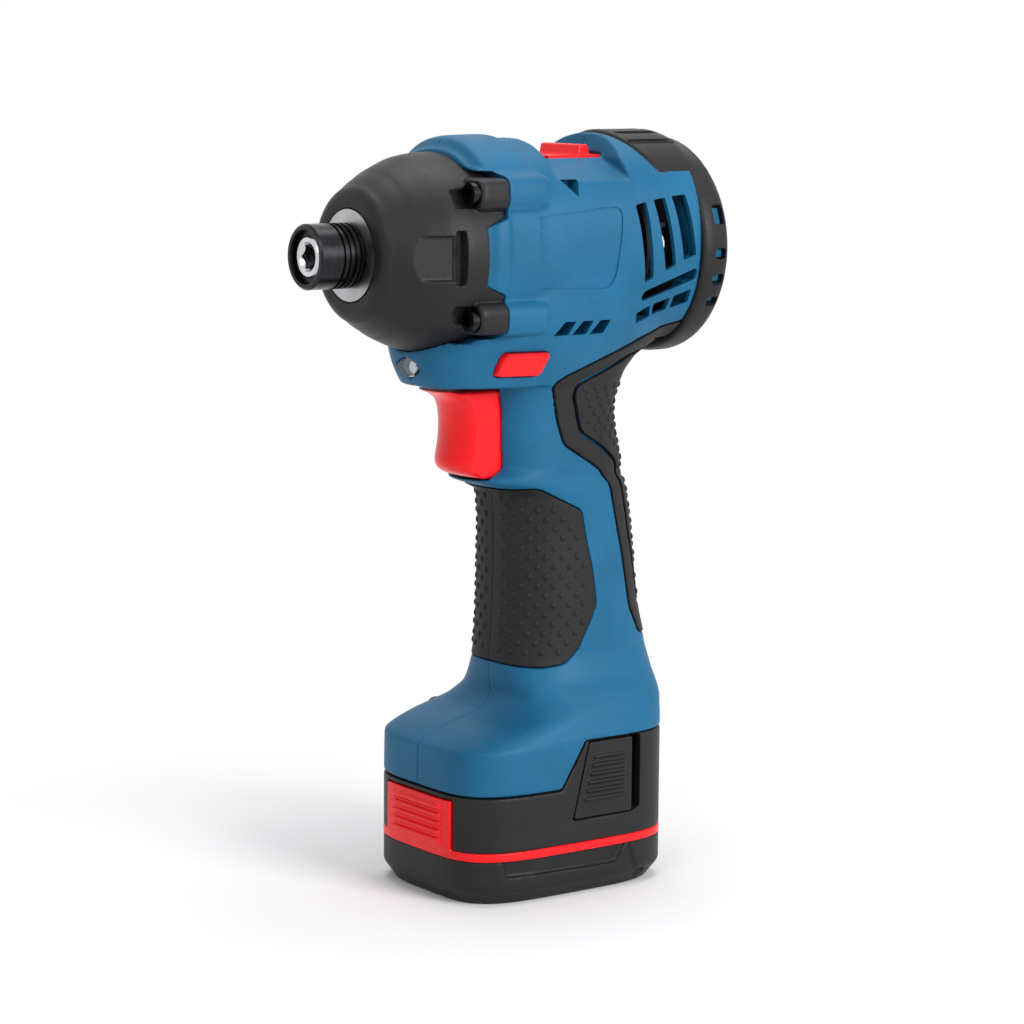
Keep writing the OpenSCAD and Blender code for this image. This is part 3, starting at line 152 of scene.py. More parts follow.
def ring(a, b, square, count):
    """A squared circle: at each angle the radius is (|cos/a|^n + |sin/b|^n)^(-1/n), so n = 2 is an ellipse
    and a larger n has flatter sides."""
    angle = np.linspace(0, 2 * np.pi, count, endpoint=False)
    c, s = np.cos(angle), np.sin(angle)
    radius = (np.abs(c / a) ** square + np.abs(s / b) ** square) ** (-1 / square)
    return radius * c, radius * s


def through(rows, count):
    """A smooth table: cubic pieces through the rows, with each slope the harmonic mean of its neighbours',
    or level at a peak, so the curve never overshoots. The first column is the station."""
    rows = np.asarray(rows, float)
    at = rows[:, 0]
    step = np.diff(rows, axis=0) / np.diff(at)[:, None]
    product = step[:-1] * step[1:]
    total = step[:-1] + step[1:]
    middle = np.where(product > 0, 2 * product / np.where(product > 0, total, 1), 0)
    slope = np.vstack([step[:1], middle, step[-1:]])
    s = np.linspace(at[0], at[-1], count)
    k = np.clip(np.searchsorted(at, s, "right") - 1, 0, len(at) - 2)
    h = (at[k + 1] - at[k])[:, None]
    t = (s - at[k])[:, None] / h
    return ((2 * t ** 3 - 3 * t ** 2 + 1) * rows[k] + (t ** 3 - 2 * t ** 2 + t) * h * slope[k]
            + (3 * t ** 2 - 2 * t ** 3) * rows[k + 1] + (t ** 3 - t ** 2) * h * slope[k + 1])


def eased(corners, reach, count=6):
    """Each corner of an outline becomes a curve from a point before it to a point after it, with the corner
    as its handle: (1-t)^2 A + 2t(1-t) C + t^2 B."""
    c = np.asarray(corners, float)

    def toward(other):
        gap = other - c
        length = np.linalg.norm(gap, axis=1, keepdims=True)
        return c + gap / length * np.minimum(reach, 0.48 * length)

    t = np.linspace(0, 1, count)[None, :, None]
    first, last = toward(np.roll(c, 1, axis=0)), toward(np.roll(c, -1, axis=0))
    curve = (1 - t) ** 2 * first[:, None] + 2 * t * (1 - t) * c[:, None] + t ** 2 * last[:, None]
    return curve.reshape(-1, 2)


print("a ring's widest point", np.round(ring(2, 1, 4, 8)[0].max(), 3))

# %% Blocks and turned pieces
ASIDE = 60


def across(name, outline, y0=-ASIDE, y1=ASIDE):
    """A side outline in x and z carried straight across, by default past both sides of the tool."""
    x, z = np.asarray(outline, float).T
    return skin(name, grid(x, np.array([[y0], [y1]]), z))


def box(name, x0, x1, y0, y1, z0, z1, ease=0.0):
    """A block between two corners, with the edges that run across eased when asked."""
    corners = np.array([[x0, z0], [x1, z0], [x1, z1], [x0, z1]])
    return across(name, eased(corners, ease) if ease else corners, y0, y1)


def turned(name, profile, count=120, closed=False, middle=(0, 0)):
    """A profile of places x and radii r turned round an axis along x through the point middle (y, z)."""
    profile = np.asarray(profile, float)
    angle = np.linspace(0, 2 * np.pi, count, endpoint=False)
    r = profile[:, 1:2]
    y, z = middle[0] + r * np.cos(angle), middle[1] + r * np.sin(angle)
    return skin(name, grid(profile[:, :1], y, z), closed)


print("blocks reach", ASIDE, "mm to each side unless told otherwise")

# %% [markdown]
# ## Cutting and softening
# Moulded parts are full of pockets, so the surfaces are joined and cut with Boolean modifiers. A moulding
# never has a knife edge: a fine voxel remesh and a little smoothing afterwards turn every cut edge into the
# small radius that a mould leaves, and a Decimate modifier drops the points that flat faces don't need.

# %% Booleans and eased edges


def settle(piece):
    """Makes the result of a piece's modifiers its own mesh."""
    graph = bpy.context.evaluated_depsgraph_get()
    mesh = bpy.data.meshes.new_from_object(piece.evaluated_get(graph))
    spent = piece.data
    piece.modifiers.clear()
    piece.data = mesh
    bpy.data.meshes.remove(spent)
    return piece


def carve(piece, tool, how="DIFFERENCE", keep=False):
    """Cuts, joins or overlaps one closed surface with another."""
    modifier = piece.modifiers.new("carve", "BOOLEAN")
    modifier.operation = how
    modifier.solver = "MANIFOLD"
    modifier.object = tool
    settle(piece)
    if not keep:
        bpy.data.objects.remove(tool)
    return piece


def join(name, pieces):
    """Several closed surfaces as one."""
    whole = pieces[0]
    whole.name = name
    for piece in pieces[1:]:
        carve(whole, piece, "UNION")
    return whole


def copy(piece, name):
    """A second piece with its own mesh."""
    return placed(name, piece.data.copy())


def soften(piece, voxel, rounds, keep=1.0):
    """Remesh to even voxels, smooth a few rounds, and thin the flat parts to a share of the faces."""
    remesh = piece.modifiers.new("voxels", "REMESH")
    remesh.mode = "VOXEL"
    remesh.voxel_size = voxel / 1000
    smooth = piece.modifiers.new("smooth", "SMOOTH")
    smooth.factor = 0.5
    smooth.iterations = rounds
    if keep < 1:
        thin = piece.modifiers.new("thin", "DECIMATE")
        thin.ratio = keep
    return settle(piece)


def mirrored(piece, name):
    """The same piece on the tool's other side: y changes sign, and each face is turned round again."""
    other = copy(piece, name)
    other.data.transform(Matrix.Diagonal((1, -1, 1, 1)))
    other.data.flip_normals()
    return other


# %% [markdown]
# ## Finishes
# The mouldings have a fine grain from the spark-eroded mould. It shows as a slight mottling in colour and
# gloss, so one node group gives all of them a varied colour, a varied roughness and a height for the bump.
# A second group draws the fine turning lines of machined steel.

# %% The moulded grain group


def group(name, inputs, outputs):
    """A shader node group with named sockets, and its two end nodes."""
    tree = bpy.data.node_groups.new(name, "ShaderNodeTree")
    for label, kind in inputs:
        tree.interface.new_socket(label, in_out="INPUT", socket_type=kind)
    for label, kind in outputs:
        tree.interface.new_socket(label, in_out="OUTPUT", socket_type=kind)
    return tree, tree.nodes.new("NodeGroupInput"), tree.nodes.new("NodeGroupOutput")


FLOAT, COLOUR = "NodeSocketFloat", "NodeSocketColor"
GLOSS = [("Low Roughness", FLOAT), ("High Roughness", FLOAT)]
EFFECT = [("Colour", COLOUR), ("Roughness", FLOAT), ("Height", FLOAT)]
grain, grain_in, grain_out = group(
    "moulded_grain", [("Colour", COLOUR), ("Scale", FLOAT), *GLOSS, ("Mottle", FLOAT)], EFFECT)


def feed(tree, made, inputs):
    """Gives a node's inputs, named by label or number, their values, or links where a value is a socket."""
    for label, value in inputs.items():
        if isinstance(value, bpy.types.NodeSocket):
            tree.links.new(value, made.inputs[label])
        else:
            made.inputs[label].default_value = value


def node(tree, kind, inputs, **settings):
    """A new node with its settings made and its inputs fed."""
    made = tree.nodes.new(kind)
    for label, value in settings.items():
        setattr(made, label, value)
    feed(tree, made, inputs)
    return made


def noise(tree, scale, detail, place):
    """A noise texture over the given coordinates."""
    inputs = {"Scale": scale, "Detail": detail, "Vector": place}
    return node(tree, "ShaderNodeTexNoise", inputs).outputs["Fac"]


def object_place(tree):
    """The object's own coordinates."""
    return tree.nodes.new("ShaderNodeTexCoord").outputs["Object"]


def ranged(tree, value, low, high):
    """Maps 0.3 to 0.7, where most of a noise lies, to the range from low to high."""
    ends = {"Value": value, "From Min": 0.3, "From Max": 0.7, "To Min": low, "To Max": high}
    return node(tree, "ShaderNodeMapRange", ends).outputs["Result"]


def blended(tree, factor, first, second, kind="MIX"):
    """Mixes two colours."""
    inputs = {0: factor, 6: first, 7: second}
    return node(tree, "ShaderNodeMix", inputs, data_type="RGBA", blend_type=kind).outputs[2]


def grey(value):
    """A colour with three equal channels."""
    return value, value, value, 1.0


def close_group(tree, start, end, shade, gloss, height):
    """Feeds a group's outputs: its colour times a shade, a roughness from a noise, and a height."""
    tinted = blended(tree, 1.0, start.outputs["Colour"], shade, "MULTIPLY")
    rough = ranged(tree, gloss, start.outputs["Low Roughness"], start.outputs["High Roughness"])
    feed(tree, end, {"Colour": tinted, "Roughness": rough, "Height": height})


place = object_place(grain)
fine = noise(grain, grain_in.outputs["Scale"], 3.0, place)
broad = noise(grain, 60.0, 4.0, place)
shade = blended(grain, ranged(grain, broad, 0.0, 1.0), grey(0.86), grey(1.06))
speck = blended(grain, ranged(grain, fine, 0.0, 1.0), grey(0.8), grey(1.14))
both = blended(grain, grain_in.outputs["Mottle"], shade, speck, "MULTIPLY")
close_group(grain, grain_in, grain_out, both, fine, fine)
print("grain group", len(grain.nodes), "nodes")

# %% The turning lines group
lines, lines_in, lines_out = group("turning_lines", [("Colour", COLOUR), *GLOSS], EFFECT)
place = object_place(lines)
stretch = node(lines, "ShaderNodeMapping", {"Scale": (5200.0, 160.0, 160.0), "Vector": place})
scratch = noise(lines, 1.0, 2.0, stretch.outputs["Vector"])
stain = noise(lines, 220.0, 3.0, place)
shade = blended(lines, ranged(lines, scratch, 0.0, 1.0), grey(0.84), grey(1.08))
close_group(lines, lines_in, lines_out, shade, stain, scratch)
print("turning lines group", len(lines.nodes), "nodes")

# %% [markdown]
# Each finish is one Principled shader fed by one of the groups. Values that are the same all over, such as
# the coat or the metal, are set on the shader itself.

# %% One material for each finish


def new_material(name):
    """A new material, its node tree and its shader."""
    material = bpy.data.materials.new(name)
    material.use_nodes = True
    return material, material.node_tree, material.node_tree.nodes["Principled BSDF"]


def base_material(name, effect, colour, low, high, bump, distance, look, **more):
    """A material whose colour, roughness and bump come from a group, and its plain values from look."""
    material, tree, shader = new_material(name)
    inputs = {"Colour": (*colour, 1.0), "Low Roughness": low, "High Roughness": high, **more}
    made = node(tree, "ShaderNodeGroup", inputs, node_tree=effect).outputs
    relief = node(tree, "ShaderNodeBump", {"Strength": bump, "Distance": distance, "Height": made["Height"]})
    feed(tree, shader, {"Base Color": made["Colour"], "Roughness": made["Roughness"],
                        "Normal": relief.outputs["Normal"], **look})
    return material


def moulded(name, colour, low, high, scale, bump, mottle=0.6, coat=0.0):
    """Grained plastic."""
    look = {"Specular IOR Level": 0.22, "Coat Weight": coat, "Coat Roughness": 0.15}
    return base_material(name, grain, colour, low, high, bump, 0.0002, look, Scale=scale, Mottle=mottle)


def metal(name, colour, low, high, bump=0.12):
    """Machined metal with fine lines round its axis."""
    return base_material(name, lines, colour, low, high, bump, 0.0001, {"Metallic": 1.0})


FINISH = {
    "blue_plastic": moulded("blue_moulding", (0.006, 0.112, 0.228), 0.42, 0.58, 2600.0, 0.30),
    "dark_plastic": moulded("dark_moulding", (0.013, 0.013, 0.0142), 0.38, 0.54, 2400.0, 0.28),
    "black_plastic": moulded("black_moulding", (0.010, 0.010, 0.011), 0.40, 0.55, 2400.0, 0.2),
    "red_plastic": moulded("red_moulding", (0.930, 0.006, 0.010), 0.26, 0.36, 1800.0, 0.06, 0.25, 0.1),
    # The stator insulators are white plastic; their colour is greyed here to paint the shade they sit in deep
    # inside the motor.
    "white_plastic": moulded("insulator_painted_shade_grey", (0.26, 0.25, 0.23), 0.4, 0.5, 1800.0, 0.1, 0.3),
    "soft_grip": moulded("soft_grip", (0.014, 0.014, 0.0152), 0.52, 0.68, 3000.0, 0.25),
    "black_steel": metal("black_steel", (0.030, 0.030, 0.033), 0.22, 0.34),
    "bright_steel": metal("bright_steel", (0.62, 0.63, 0.65), 0.14, 0.26),
    "spring_steel": metal("spring_steel", (0.42, 0.43, 0.45), 0.25, 0.4),
    "tool_steel": metal("tool_steel", (0.30, 0.31, 0.32), 0.28, 0.42),
    "cast_alloy": metal("turned_alloy", (0.44, 0.45, 0.46), 0.26, 0.40, 0.2),
    "bronze": metal("sintered_bronze", (0.50, 0.33, 0.13), 0.35, 0.5),
    "copper": metal("wound_copper", (0.60, 0.24, 0.09), 0.28, 0.4),
    "contact_brass": metal("contact_brass", (0.62, 0.46, 0.18), 0.22, 0.34),
    "lamination": metal("stacked_sheet", (0.20, 0.20, 0.21), 0.4, 0.55, 0.4),
    "magnet": metal("plated_magnet", (0.30, 0.31, 0.32), 0.25, 0.35),
    "lamp_body": moulded("lamp_resin", (0.85, 0.88, 0.90), 0.1, 0.2, 900.0, 0.02, 0.2),
    "board": moulded("solder_mask", (0.02, 0.13, 0.055), 0.3, 0.42, 900.0, 0.05, 0.4),
    "cell_wrap": moulded("cell_wrap", (0.07, 0.30, 0.15), 0.28, 0.36, 700.0, 0.05, 0.3),
}
print("finishes", len(FINISH))

# %% Clear lens
clear, tree, shader = new_material("clear_lens")
ripple = noise(tree, 700.0, 2.0, object_place(tree))
tint = blended(tree, ripple, (0.90, 0.94, 0.96, 1.0), grey(1.0))
glass = {"Transmission Weight": 1.0, "IOR": 1.46, "Roughness": ranged(tree, ripple, 0.03, 0.10)}
feed(tree, shader, {**glass, "Base Color": tint})
FINISH["clear_lens"] = clear
print("clear lens", len(tree.nodes), "nodes")

# %% Give every solid its finish
SLOTS = {part["node"]: part["material_slot"] for part in frame["record"]["subparts"]}
for name, solid in frame["nodes"].items():
    solid.data.materials.clear()
    solid.data.materials.append(FINISH[SLOTS[name]])
print("solids with a finish", len(SLOTS))

# %% Name, finish and place a new piece
SHARP = np.radians(32)


def finish_piece(piece, name, body, nodes, slot):
    """Names a piece, gives it its slot's finish and smooth shading except along sharp edges, ties it to its
    body and hides the solids that it replaces."""
    piece.name = name
    piece.data.name = name
    piece.data.materials.clear()
    piece.data.materials.append(FINISH[slot])
    piece.data.shade_smooth()
    piece.data.set_sharp_from_angle(angle=SHARP)
    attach(piece, body)
    if nodes:
        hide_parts(*nodes)
    print(name, "faces", len(piece.data.polygons))
    return piece

# %% [markdown]
# ## The body's outer form
# The blue body is a barrel lying along the bit, a neck under it, a grip, and a foot that spreads over the
# pack. Each is a row of squared rings whose sizes come from a table read off the object. Joined, remeshed and
# smoothed, the rows run into each other with the generous fillets of a real moulding.

# %% Tables of the barrel, the neck and the grip
BARREL_LOW, BARREL_SQUARE = -27.4, 2.25
BARREL = [[40.7, 27.7, 25.6], [42.0, 28.3, 25.9], [44.3, 30.8, 27.1], [47.0, 31.3, 27.4], [57.3, 31.5, 27.5],
          [57.8, 29.8, 26.7], [61.0, 30.0, 26.8], [66.3, 30.5, 27.1], [90.0, 31.0, 27.5], [93.0, 31.5, 27.7],
          [111.4, 31.5, 28.6]]
CORE = [[44.0, 29.3, 26.4], [57.8, 29.8, 26.7], [66.3, 30.5, 27.1], [70.0, 30.6, 27.15]]
NECK = [[6.0, -38.0, -112.0, 26.6, 2.4], [17.6, -34.9, -116.0, 26.0, 2.5], [25.4, -31.4, -111.0, 24.0, 2.5],
        [29.2, -32.0, -105.3, 22.3, 2.5], [33.2, -33.4, -100.7, 20.6, 2.5], [36.1, -35.0, -98.5, 19.6, 2.5]]
GRIP = [
    [30.0, -55.0, -103.0, 20.6, 2.6], [34.0, -54.9, -99.4, 19.8, 2.7], [43.9, -55.8, -96.1, 18.8, 2.7],
    [58.8, -56.0, -99.2, 18.2, 2.7], [62.4, -50.4, -100.3, 17.7, 2.45], [65.3, -57.8, -100.8, 17.9, 2.7],
    [67.6, -61.4, -101.3, 17.8, 2.7], [77.0, -62.0, -103.2, 17.6, 2.7], [87.7, -62.0, -104.3, 18.2, 2.7],
    [101.2, -61.7, -106.3, 18.5, 2.7], [111.1, -60.9, -108.9, 18.8, 2.7], [117.9, -60.6, -109.9, 20.7, 2.9],
    [122.8, -61.3, -109.3, 23.8, 3.3], [126.6, -57.3, -108.7, 25.8, 3.7], [130.2, -42.4, -108.4, 27.0, 4.0],
    [132.3, -37.6, -108.0, 27.7, 4.2], [132.9, -36.7, -107.9, 28.0, 4.2], [146.7, -36.5, -107.9, 28.0, 4.2]]
TILT_ABOUT = -72
TILT = [[118, 130, 137, 145], [0, 0.06, 0.06, 0]]


def barrel(name, grow, stations=220, table=BARREL):
    """Upright squared rings along x, from the table's top, lowest point and half width, grown all round."""
    rows = through(table, stations)
    top, low = rows[:, 1:2] + grow, BARREL_LOW - grow
    y, z = ring(rows[:, 2:3] + grow, (top - low) / 2, BARREL_SQUARE, 144)
    return skin(name, grid(-rows[:, :1], y, (top + low) / 2 + z))


def column(name, table, grow, stations):
    """Level squared rings down z, from the table's front, back, half width and squareness, grown all round.
    Rings near the foot are tilted, so that they lie lower in front."""
    rows = through(table, stations)
    front, rear = rows[:, 1:2] + grow, rows[:, 2:3] - grow
    x, y = ring((front - rear) / 2, rows[:, 3:4] + grow, rows[:, 4:5], 144)
    x = x + (front + rear) / 2
    down = rows[:, :1]
    tilt = np.interp(down, *TILT)
    return skin(name, grid(x, y, -down - tilt * (x - TILT_ABOUT)))


def whole_body(name, grow):
    """The barrel, the neck and the grip as one surface, grown all round."""
    return join(name, [barrel(name, grow), column("neck", NECK, grow, 60), column("grip", GRIP, grow, 240)])


print("stations", {"barrel": len(BARREL), "neck": len(NECK), "grip": len(GRIP)})

# %% Fairings, the deck and the collar's flat sides
BAR = [[12, 6], [27.5, 13.6], [26.9, 20.8], [12, 24.5]]
BAR_STATIONS = [[-42, 1.0], [-59.4, 1.0], [-60.2, 0.98], [-60.6, 0.94]]
CORNERS = [(side, level) for side in (1, -1) for level in (1, -1)]
DECK_Z, DECK_FRONT, DECK_BACK, DECK_SLOPE = 25.2, -66.3, -90.2, 18.8
DECK = np.array([[60, 4.6], [23.2, 19.2], [11.6, 23.9], [9.7, DECK_Z], [-9.7, DECK_Z], [-11.6, 23.9],
                 [-23.2, 19.2], [-60, 4.6], [-60, 60], [60, 60]])


def fairing(name, stations, corners, side, level):
    """A rounded bar along the barrel in line with a nose screw: an outline in y and z, put on the left or
    right and above or below, and at each station x shrunk about its middle by a share."""
    outline = eased(corners, 2.6, 8) * [side, level]
    middle = outline.mean(axis=0)
    x, share = np.array(stations, float).T[:, :, None]
    y, z = (middle + (outline - middle) * share[..., None]).transpose(2, 0, 1)
    return skin(name, grid(x, y, z))


def forward(name, outline, x0, x1):
    """An outline in y and z carried along x."""
    y, z = outline.T
    return skin(name, grid(np.array([[x0], [x1]]), y, z))


form = whole_body("form", 0)
deck = forward("deck", DECK, -50, -120)
walls = [[DECK_FRONT, 0], [DECK_FRONT, 70], [DECK_BACK - DECK_SLOPE, 70], [DECK_BACK, DECK_Z], [DECK_BACK, 0]]
carve(deck, across("walls", walls, -70, 70), "INTERSECT")
carve(form, deck)
for side, level in CORNERS:
    carve(form, fairing("bar", BAR_STATIONS, BAR, side, level), "UNION")
flat_side = box("flat", -58.6, -47.6, -60, 60, -12.2, 12.2)
carve(flat_side, barrel("core", 0, 60, CORE))
carve(form, flat_side)
soften(form, 0.5, 2)
print("outer form", len(form.data.vertices), "points")

# %% [markdown]
# ## The clamshell
# Two blue half shells hold everything. The hollows follow the machinery inside: a turned bore for the case
# and the motor, boxes for the trigger, the selectors and the board, and a deep pocket in the foot for the
# pack's tower. Cutting the left half and mirroring it gives the right one; only the right has screw recesses.

# %% Room for the nose cover
shell = copy(form, "shell")
COVER = [[13.8, 15.6], [14.3, 17.0], [15.0, 17.9], [16.5, 18.8], [19.0, 20.5], [21.9, 22.2], [22.4, 22.55],
         [26.0, 24.25], [31.0, 26.1], [37.0, 26.9], [48.0, 27.2]]
EAR_FRONT, EAR_BACK = -40.8, -47.0
COVER_GAP = 0.15
dome_rows = through(COVER, 90)


def ears(grow):
    """Side outline of the cover's upper ear, grown all round; the lower one is its mirror image."""
    return np.array([[EAR_FRONT + 4, 7.8 - grow], [EAR_FRONT, 7.8 - grow], [EAR_BACK - grow, 10.4 - grow],
                     [EAR_BACK - grow, 20.8 + grow], [EAR_BACK + 1 - grow, 22.1 + grow],
                     [EAR_FRONT - 1.2, 22.1 + grow], [EAR_FRONT, 23.4 + grow], [EAR_FRONT + 4, 23.4 + grow]])


room = np.column_stack([-dome_rows[:, 0], dome_rows[:, 1] + COVER_GAP])
room = room[room[:, 0] > EAR_FRONT - COVER_GAP]
carve(shell, turned("room", np.vstack([[5, 15.6], room])))
for side in (1, -1):
    carve(shell, across("ear", eased(ears(COVER_GAP) * [1, side], 0.5), -50, 50))
print("room for the cover cut", len(shell.data.polygons), "faces")

# %% Hollows for the machinery
CASE_R = 22.12
bore = [[5, CASE_R], [-66.3, CASE_R], [-66.3, 13], [-69.9, 13], [-69.9, CASE_R], [-92.4, CASE_R],
        [-92.4, 25.0], [-114.6, 25.0], [-114.6, CASE_R], [-130, CASE_R]]
TRIGGER_TOP, TRIGGER_LOW = -37.4, -62.0
SELECTOR_X, SELECTOR_Z = -52.5, -29.4
SELECTOR = np.array([[-8.8, -3.4], [4.6, -3.2], [3.4, 3.2], [-10.3, 3.1]])


def rod(name, x0, x1, radius, middle, count=48):
    """A plain round bar along x."""
    return turned(name, [[x0, radius], [x1, radius]], count, middle=middle)


def hollow(x0, x1, half, z0, z1):
    """Cuts a block of room from the shell, as wide to the left as to the right."""
    carve(shell, box("room", x0, x1, -half, half, z0, z1))


carve(shell, turned("bore", bore))
hollow(-37.5, -70.7, 9.5, TRIGGER_TOP + 0.3, TRIGGER_LOW - 0.3)  # trigger
hollow(-70.6, -90.9, 11.15, TRIGGER_TOP + 0.15, TRIGGER_LOW - 0.15)  # switch
carve(shell, across("room", eased(SELECTOR * 1.06 + [SELECTOR_X, SELECTOR_Z], 1.6), -40, 40))
hollow(-91.4, -66.4, 9.5, 23.7, 26.1)  # speed selector
thin_side = barrel("room", -1.4)
carve(thin_side, box("room", -111.6, -92.4, -60, 60, -18.4, 16.6), "INTERSECT")
carve(shell, thin_side)
LENS_Z = -30.8
almond = np.column_stack(ring(5.2, 2.8, 1.5, 64))
carve(shell, forward("room", almond * 1.04 + [0, LENS_Z], 0, -36.0))
carve(shell, rod("room", -35, -42, 2.65, (0, LENS_Z), 40))
print("hollows cut", len(shell.data.polygons), "faces")

# %% Pocket for the pack in the foot
FOOT_X, FOOT_A, FOOT_B, FOOT_N = -72.2, 35.7, 28.0, 4.2
STEP = np.array([[-73.6, -133.7], [-65.4, -146.7]])


def stacked(name, layers):
    """The foot's level outline at several heights, each grown all round by its own amount, as one block."""
    z, grow = np.array(layers, float).T[:, :, None]
    x, y = ring(FOOT_A + grow, FOOT_B + grow, FOOT_N, 144)
    return skin(name, grid(FOOT_X + x, y, z))


TOWER_TOP, PACK_GAP = -138.05, 0.35
curve = STEP[1] + [-0.7, 1.1] + np.array([[0.0, 0.0], [0.5, -0.75], [1.6, -1.5]])
under = np.vstack([[[-120, STEP[0, 1]], STEP[0]], curve, [[STEP[1, 0] + 3.4, -160], [-120, -160]]])
carve(shell, across("step", under, -40, 40))
carve(shell, stacked("tower", [(-150, -1.8), (TOWER_TOP + PACK_GAP, -1.8)]))
hollow(-101.5, -67.1, 13.2, -127.1, -121.0)  # board
hollow(-97.2, -74.8, 16.2, -134.8, -131.1)  # contacts
print("foot cut", len(shell.data.polygons), "faces")

# %% [markdown]
# ## Soft grips
# The soft parts are moulded over the shell in shallow pockets, a hair proud of it. The same outline gives
# both: the grown outer form cut to the outline is the grip, and what it takes from the shell is its pocket.
# One grip wraps the back of the neck, the other the front of the handle.

# %% Outlines of the grips
FRONT_GRIP = [[-44, -64.0], [-56.0, -65.0], [-65.5, -64.5], [-79.3, -71.4], [-83.0, -89.5], [-84.2, -98.3],
              [-77.8, -110.3], [-73.4, -114.0], [-67.0, -115.0], [-44, -113.7]]
REAR_GRIP = [[-117.6, -18.3], [-95.6, -24.1], [-71.4, -33.4], [-67.5, -35.6], [-69.7, -46.2], [-72.1, -52.8],
             [-85.7, -61.0], [-89.0, -64.7], [-93.2, -82.3], [-96.5, -100.0], [-101.1, -108.3],
             [-114.1, -110.3], [-132, -110], [-132, -18.3]]
GROOVE = [[-127.3, -21.9], [-93.9, -29.3], [-76.3, -35.9], [-74.5, -38.6], [-77.6, -49.7], [-86.8, -55.0],
          [-91.7, -58.7], [-94.5, -65.4], [-97.6, -80.1], [-102.2, -99.8], [-127.3, -101]]
GRIP_LINES = {"front": eased(FRONT_GRIP, 1.6, 8), "rear": eased(REAR_GRIP, 1.6, 8)}
groove_line = eased(GROOVE, 1.8, 8)
GRIP_T, PROUD, GRIP_GAP = 1.6, 0.3, 0.35


def grown(piece, name, amount):
    """A copy whose points move outwards along their normals."""
    other = copy(piece, name)
    count = len(other.data.vertices)
    at, out = np.empty(count * 3), np.empty(count * 3)
    other.data.vertices.foreach_get("co", at)
    other.data.vertex_normals.foreach_get("vector", out)
    other.data.vertices.foreach_set("co", at + out * amount / 1000)
    other.data.update()
    return other


def inset(line, amount):
    """A closed outline moved inwards: each point goes sideways from the chord between its neighbours."""
    run = np.roll(line, -1, axis=0) - np.roll(line, 1, axis=0)
    area = np.sum(line[:, 0] * np.roll(line[:, 1], -1) - line[:, 1] * np.roll(line[:, 0], -1))
    side = np.column_stack([-run[:, 1], run[:, 0]]) * np.sign(area)
    return line + amount * side / np.maximum(np.linalg.norm(side, axis=1, keepdims=True), 1e-6)


def band(path, width):
    """The outline of a strip of even width along an open path."""
    path = np.asarray(path, float)
    run = np.gradient(path, axis=0)
    side = np.column_stack([-run[:, 1], run[:, 0]]) / np.linalg.norm(run, axis=1, keepdims=True) * width / 2
    return np.vstack([path + side, (path - side)[::-1]])


inner = whole_body("inner", -GRIP_T)
proud = grown(form, "proud", PROUD)
grips = {}
for name, line in GRIP_LINES.items():
    pocket = carve(across("pocket", line), inner, keep=True)
    carve(shell, pocket)
    block = carve(across("block", inset(line, GRIP_GAP)), inner, keep=True)
    grips[name] = carve(copy(proud, name), block, "INTERSECT")
carve(grips["rear"], turned("bore", bore))
carve(grips["rear"], turned("cap room", [[-111.3, 60], [-140, 60]]))
carve(grips["rear"], across("groove", band(groove_line, 1.0)))
bpy.data.objects.remove(inner)
bpy.data.objects.remove(proud)
print("grips", {name: len(grip.data.polygons) for name, grip in grips.items()})

# %% Pad room, spigot and the two halves
CAP_FRONT, REAR = -111.4, -121.6


def sector(name, front, rear, low, high, spread, bow, count=48):
    """A curved plate on top of the barrel: at each angle a rounded section in x and r, whose front edge moves
    back by bow as the square of the angle's share."""
    turn_by = np.radians(np.linspace(-spread, spread, count))[:, None]
    share = (np.linspace(-1, 1, count)[:, None]) ** 2
    section = eased([[1.0, 0.0], [1.0, 1.0], [0.0, 1.0], [0.0, 0.0]], 0.16, 6)
    edge = front - bow * share
    x = rear + (edge - rear) * section[:, 0]
    r = low + (high - low) * section[:, 1]
    return skin(name, grid(x, r * np.sin(turn_by), r * np.cos(turn_by)))


def left_half(piece):
    """Cuts away what lies to the right of the tool's middle plane."""
    carve(piece, box("right side", -300, 100, -80, 0.0, -300, 100))


carve(shell, sector("pad room", -94.6, -118, 29.0, 36.0, 46.6, 6.0))
spigot = [[-108, CASE_R], [-108, 25.9], [-118, 25.9], [-118, CASE_R]]
carve(shell, turned("spigot", spigot, closed=True), "UNION")
left_half(shell)
soften(shell, 0.42, 2, 0.38)
print("left shell", len(shell.data.polygons), "faces")

# %% The cooling vents
TALL = [[[-89.9, 12.6], [-93.4, 13.5], [-95.8, -7.3], [-93.2, -8.6]],
        [[-96.0, 13.9], [-99.9, 14.5], [-102.9, -4.0], [-99.6, -5.6]],
        [[-102.3, 14.8], [-107.0, 15.2], [-109.6, -1.4], [-105.5, -2.8]]]


def slanted(x0, z0, x1, z1, h0, h1):
    """Outline of a slot along a line, with its height at each end."""
    return [[x0, z0 - h0 / 2], [x1, z1 - h1 / 2], [x1, z1 + h1 / 2], [x0, z0 + h0 / 2]]


def vent(outline, ease):
    """Cuts a slot through the shell's left side."""
    carve(shell, across("vent", eased(outline, ease), 16.0, 40.0))


for outline in TALL:
    vent(outline, 0.5)
vent(slanted(-93.4, -12.6, -110.4, -6.4, 2.9, 3.2), 1.4)
for a, b in ((0.0, 0.31), (0.37, 0.64), (0.7, 1.0)):
    x = np.array([a, b]) * -18.0 - 91.6
    z = np.array([a, b]) * 5.6 - 18.4
    vent(slanted(x[0], z[0], x[1], z[1], 2.8 + a, 2.8 + b), 0.4)
for i in range(3):
    x = -63.4 - 5.9 * i
    vent([[x, -22.0], [x - 4.8, -21.9], [x - 6.9, -18.2], [x - 3.4, -18.2]], 0.3)
print("vents cut", len(shell.data.polygons), "faces")

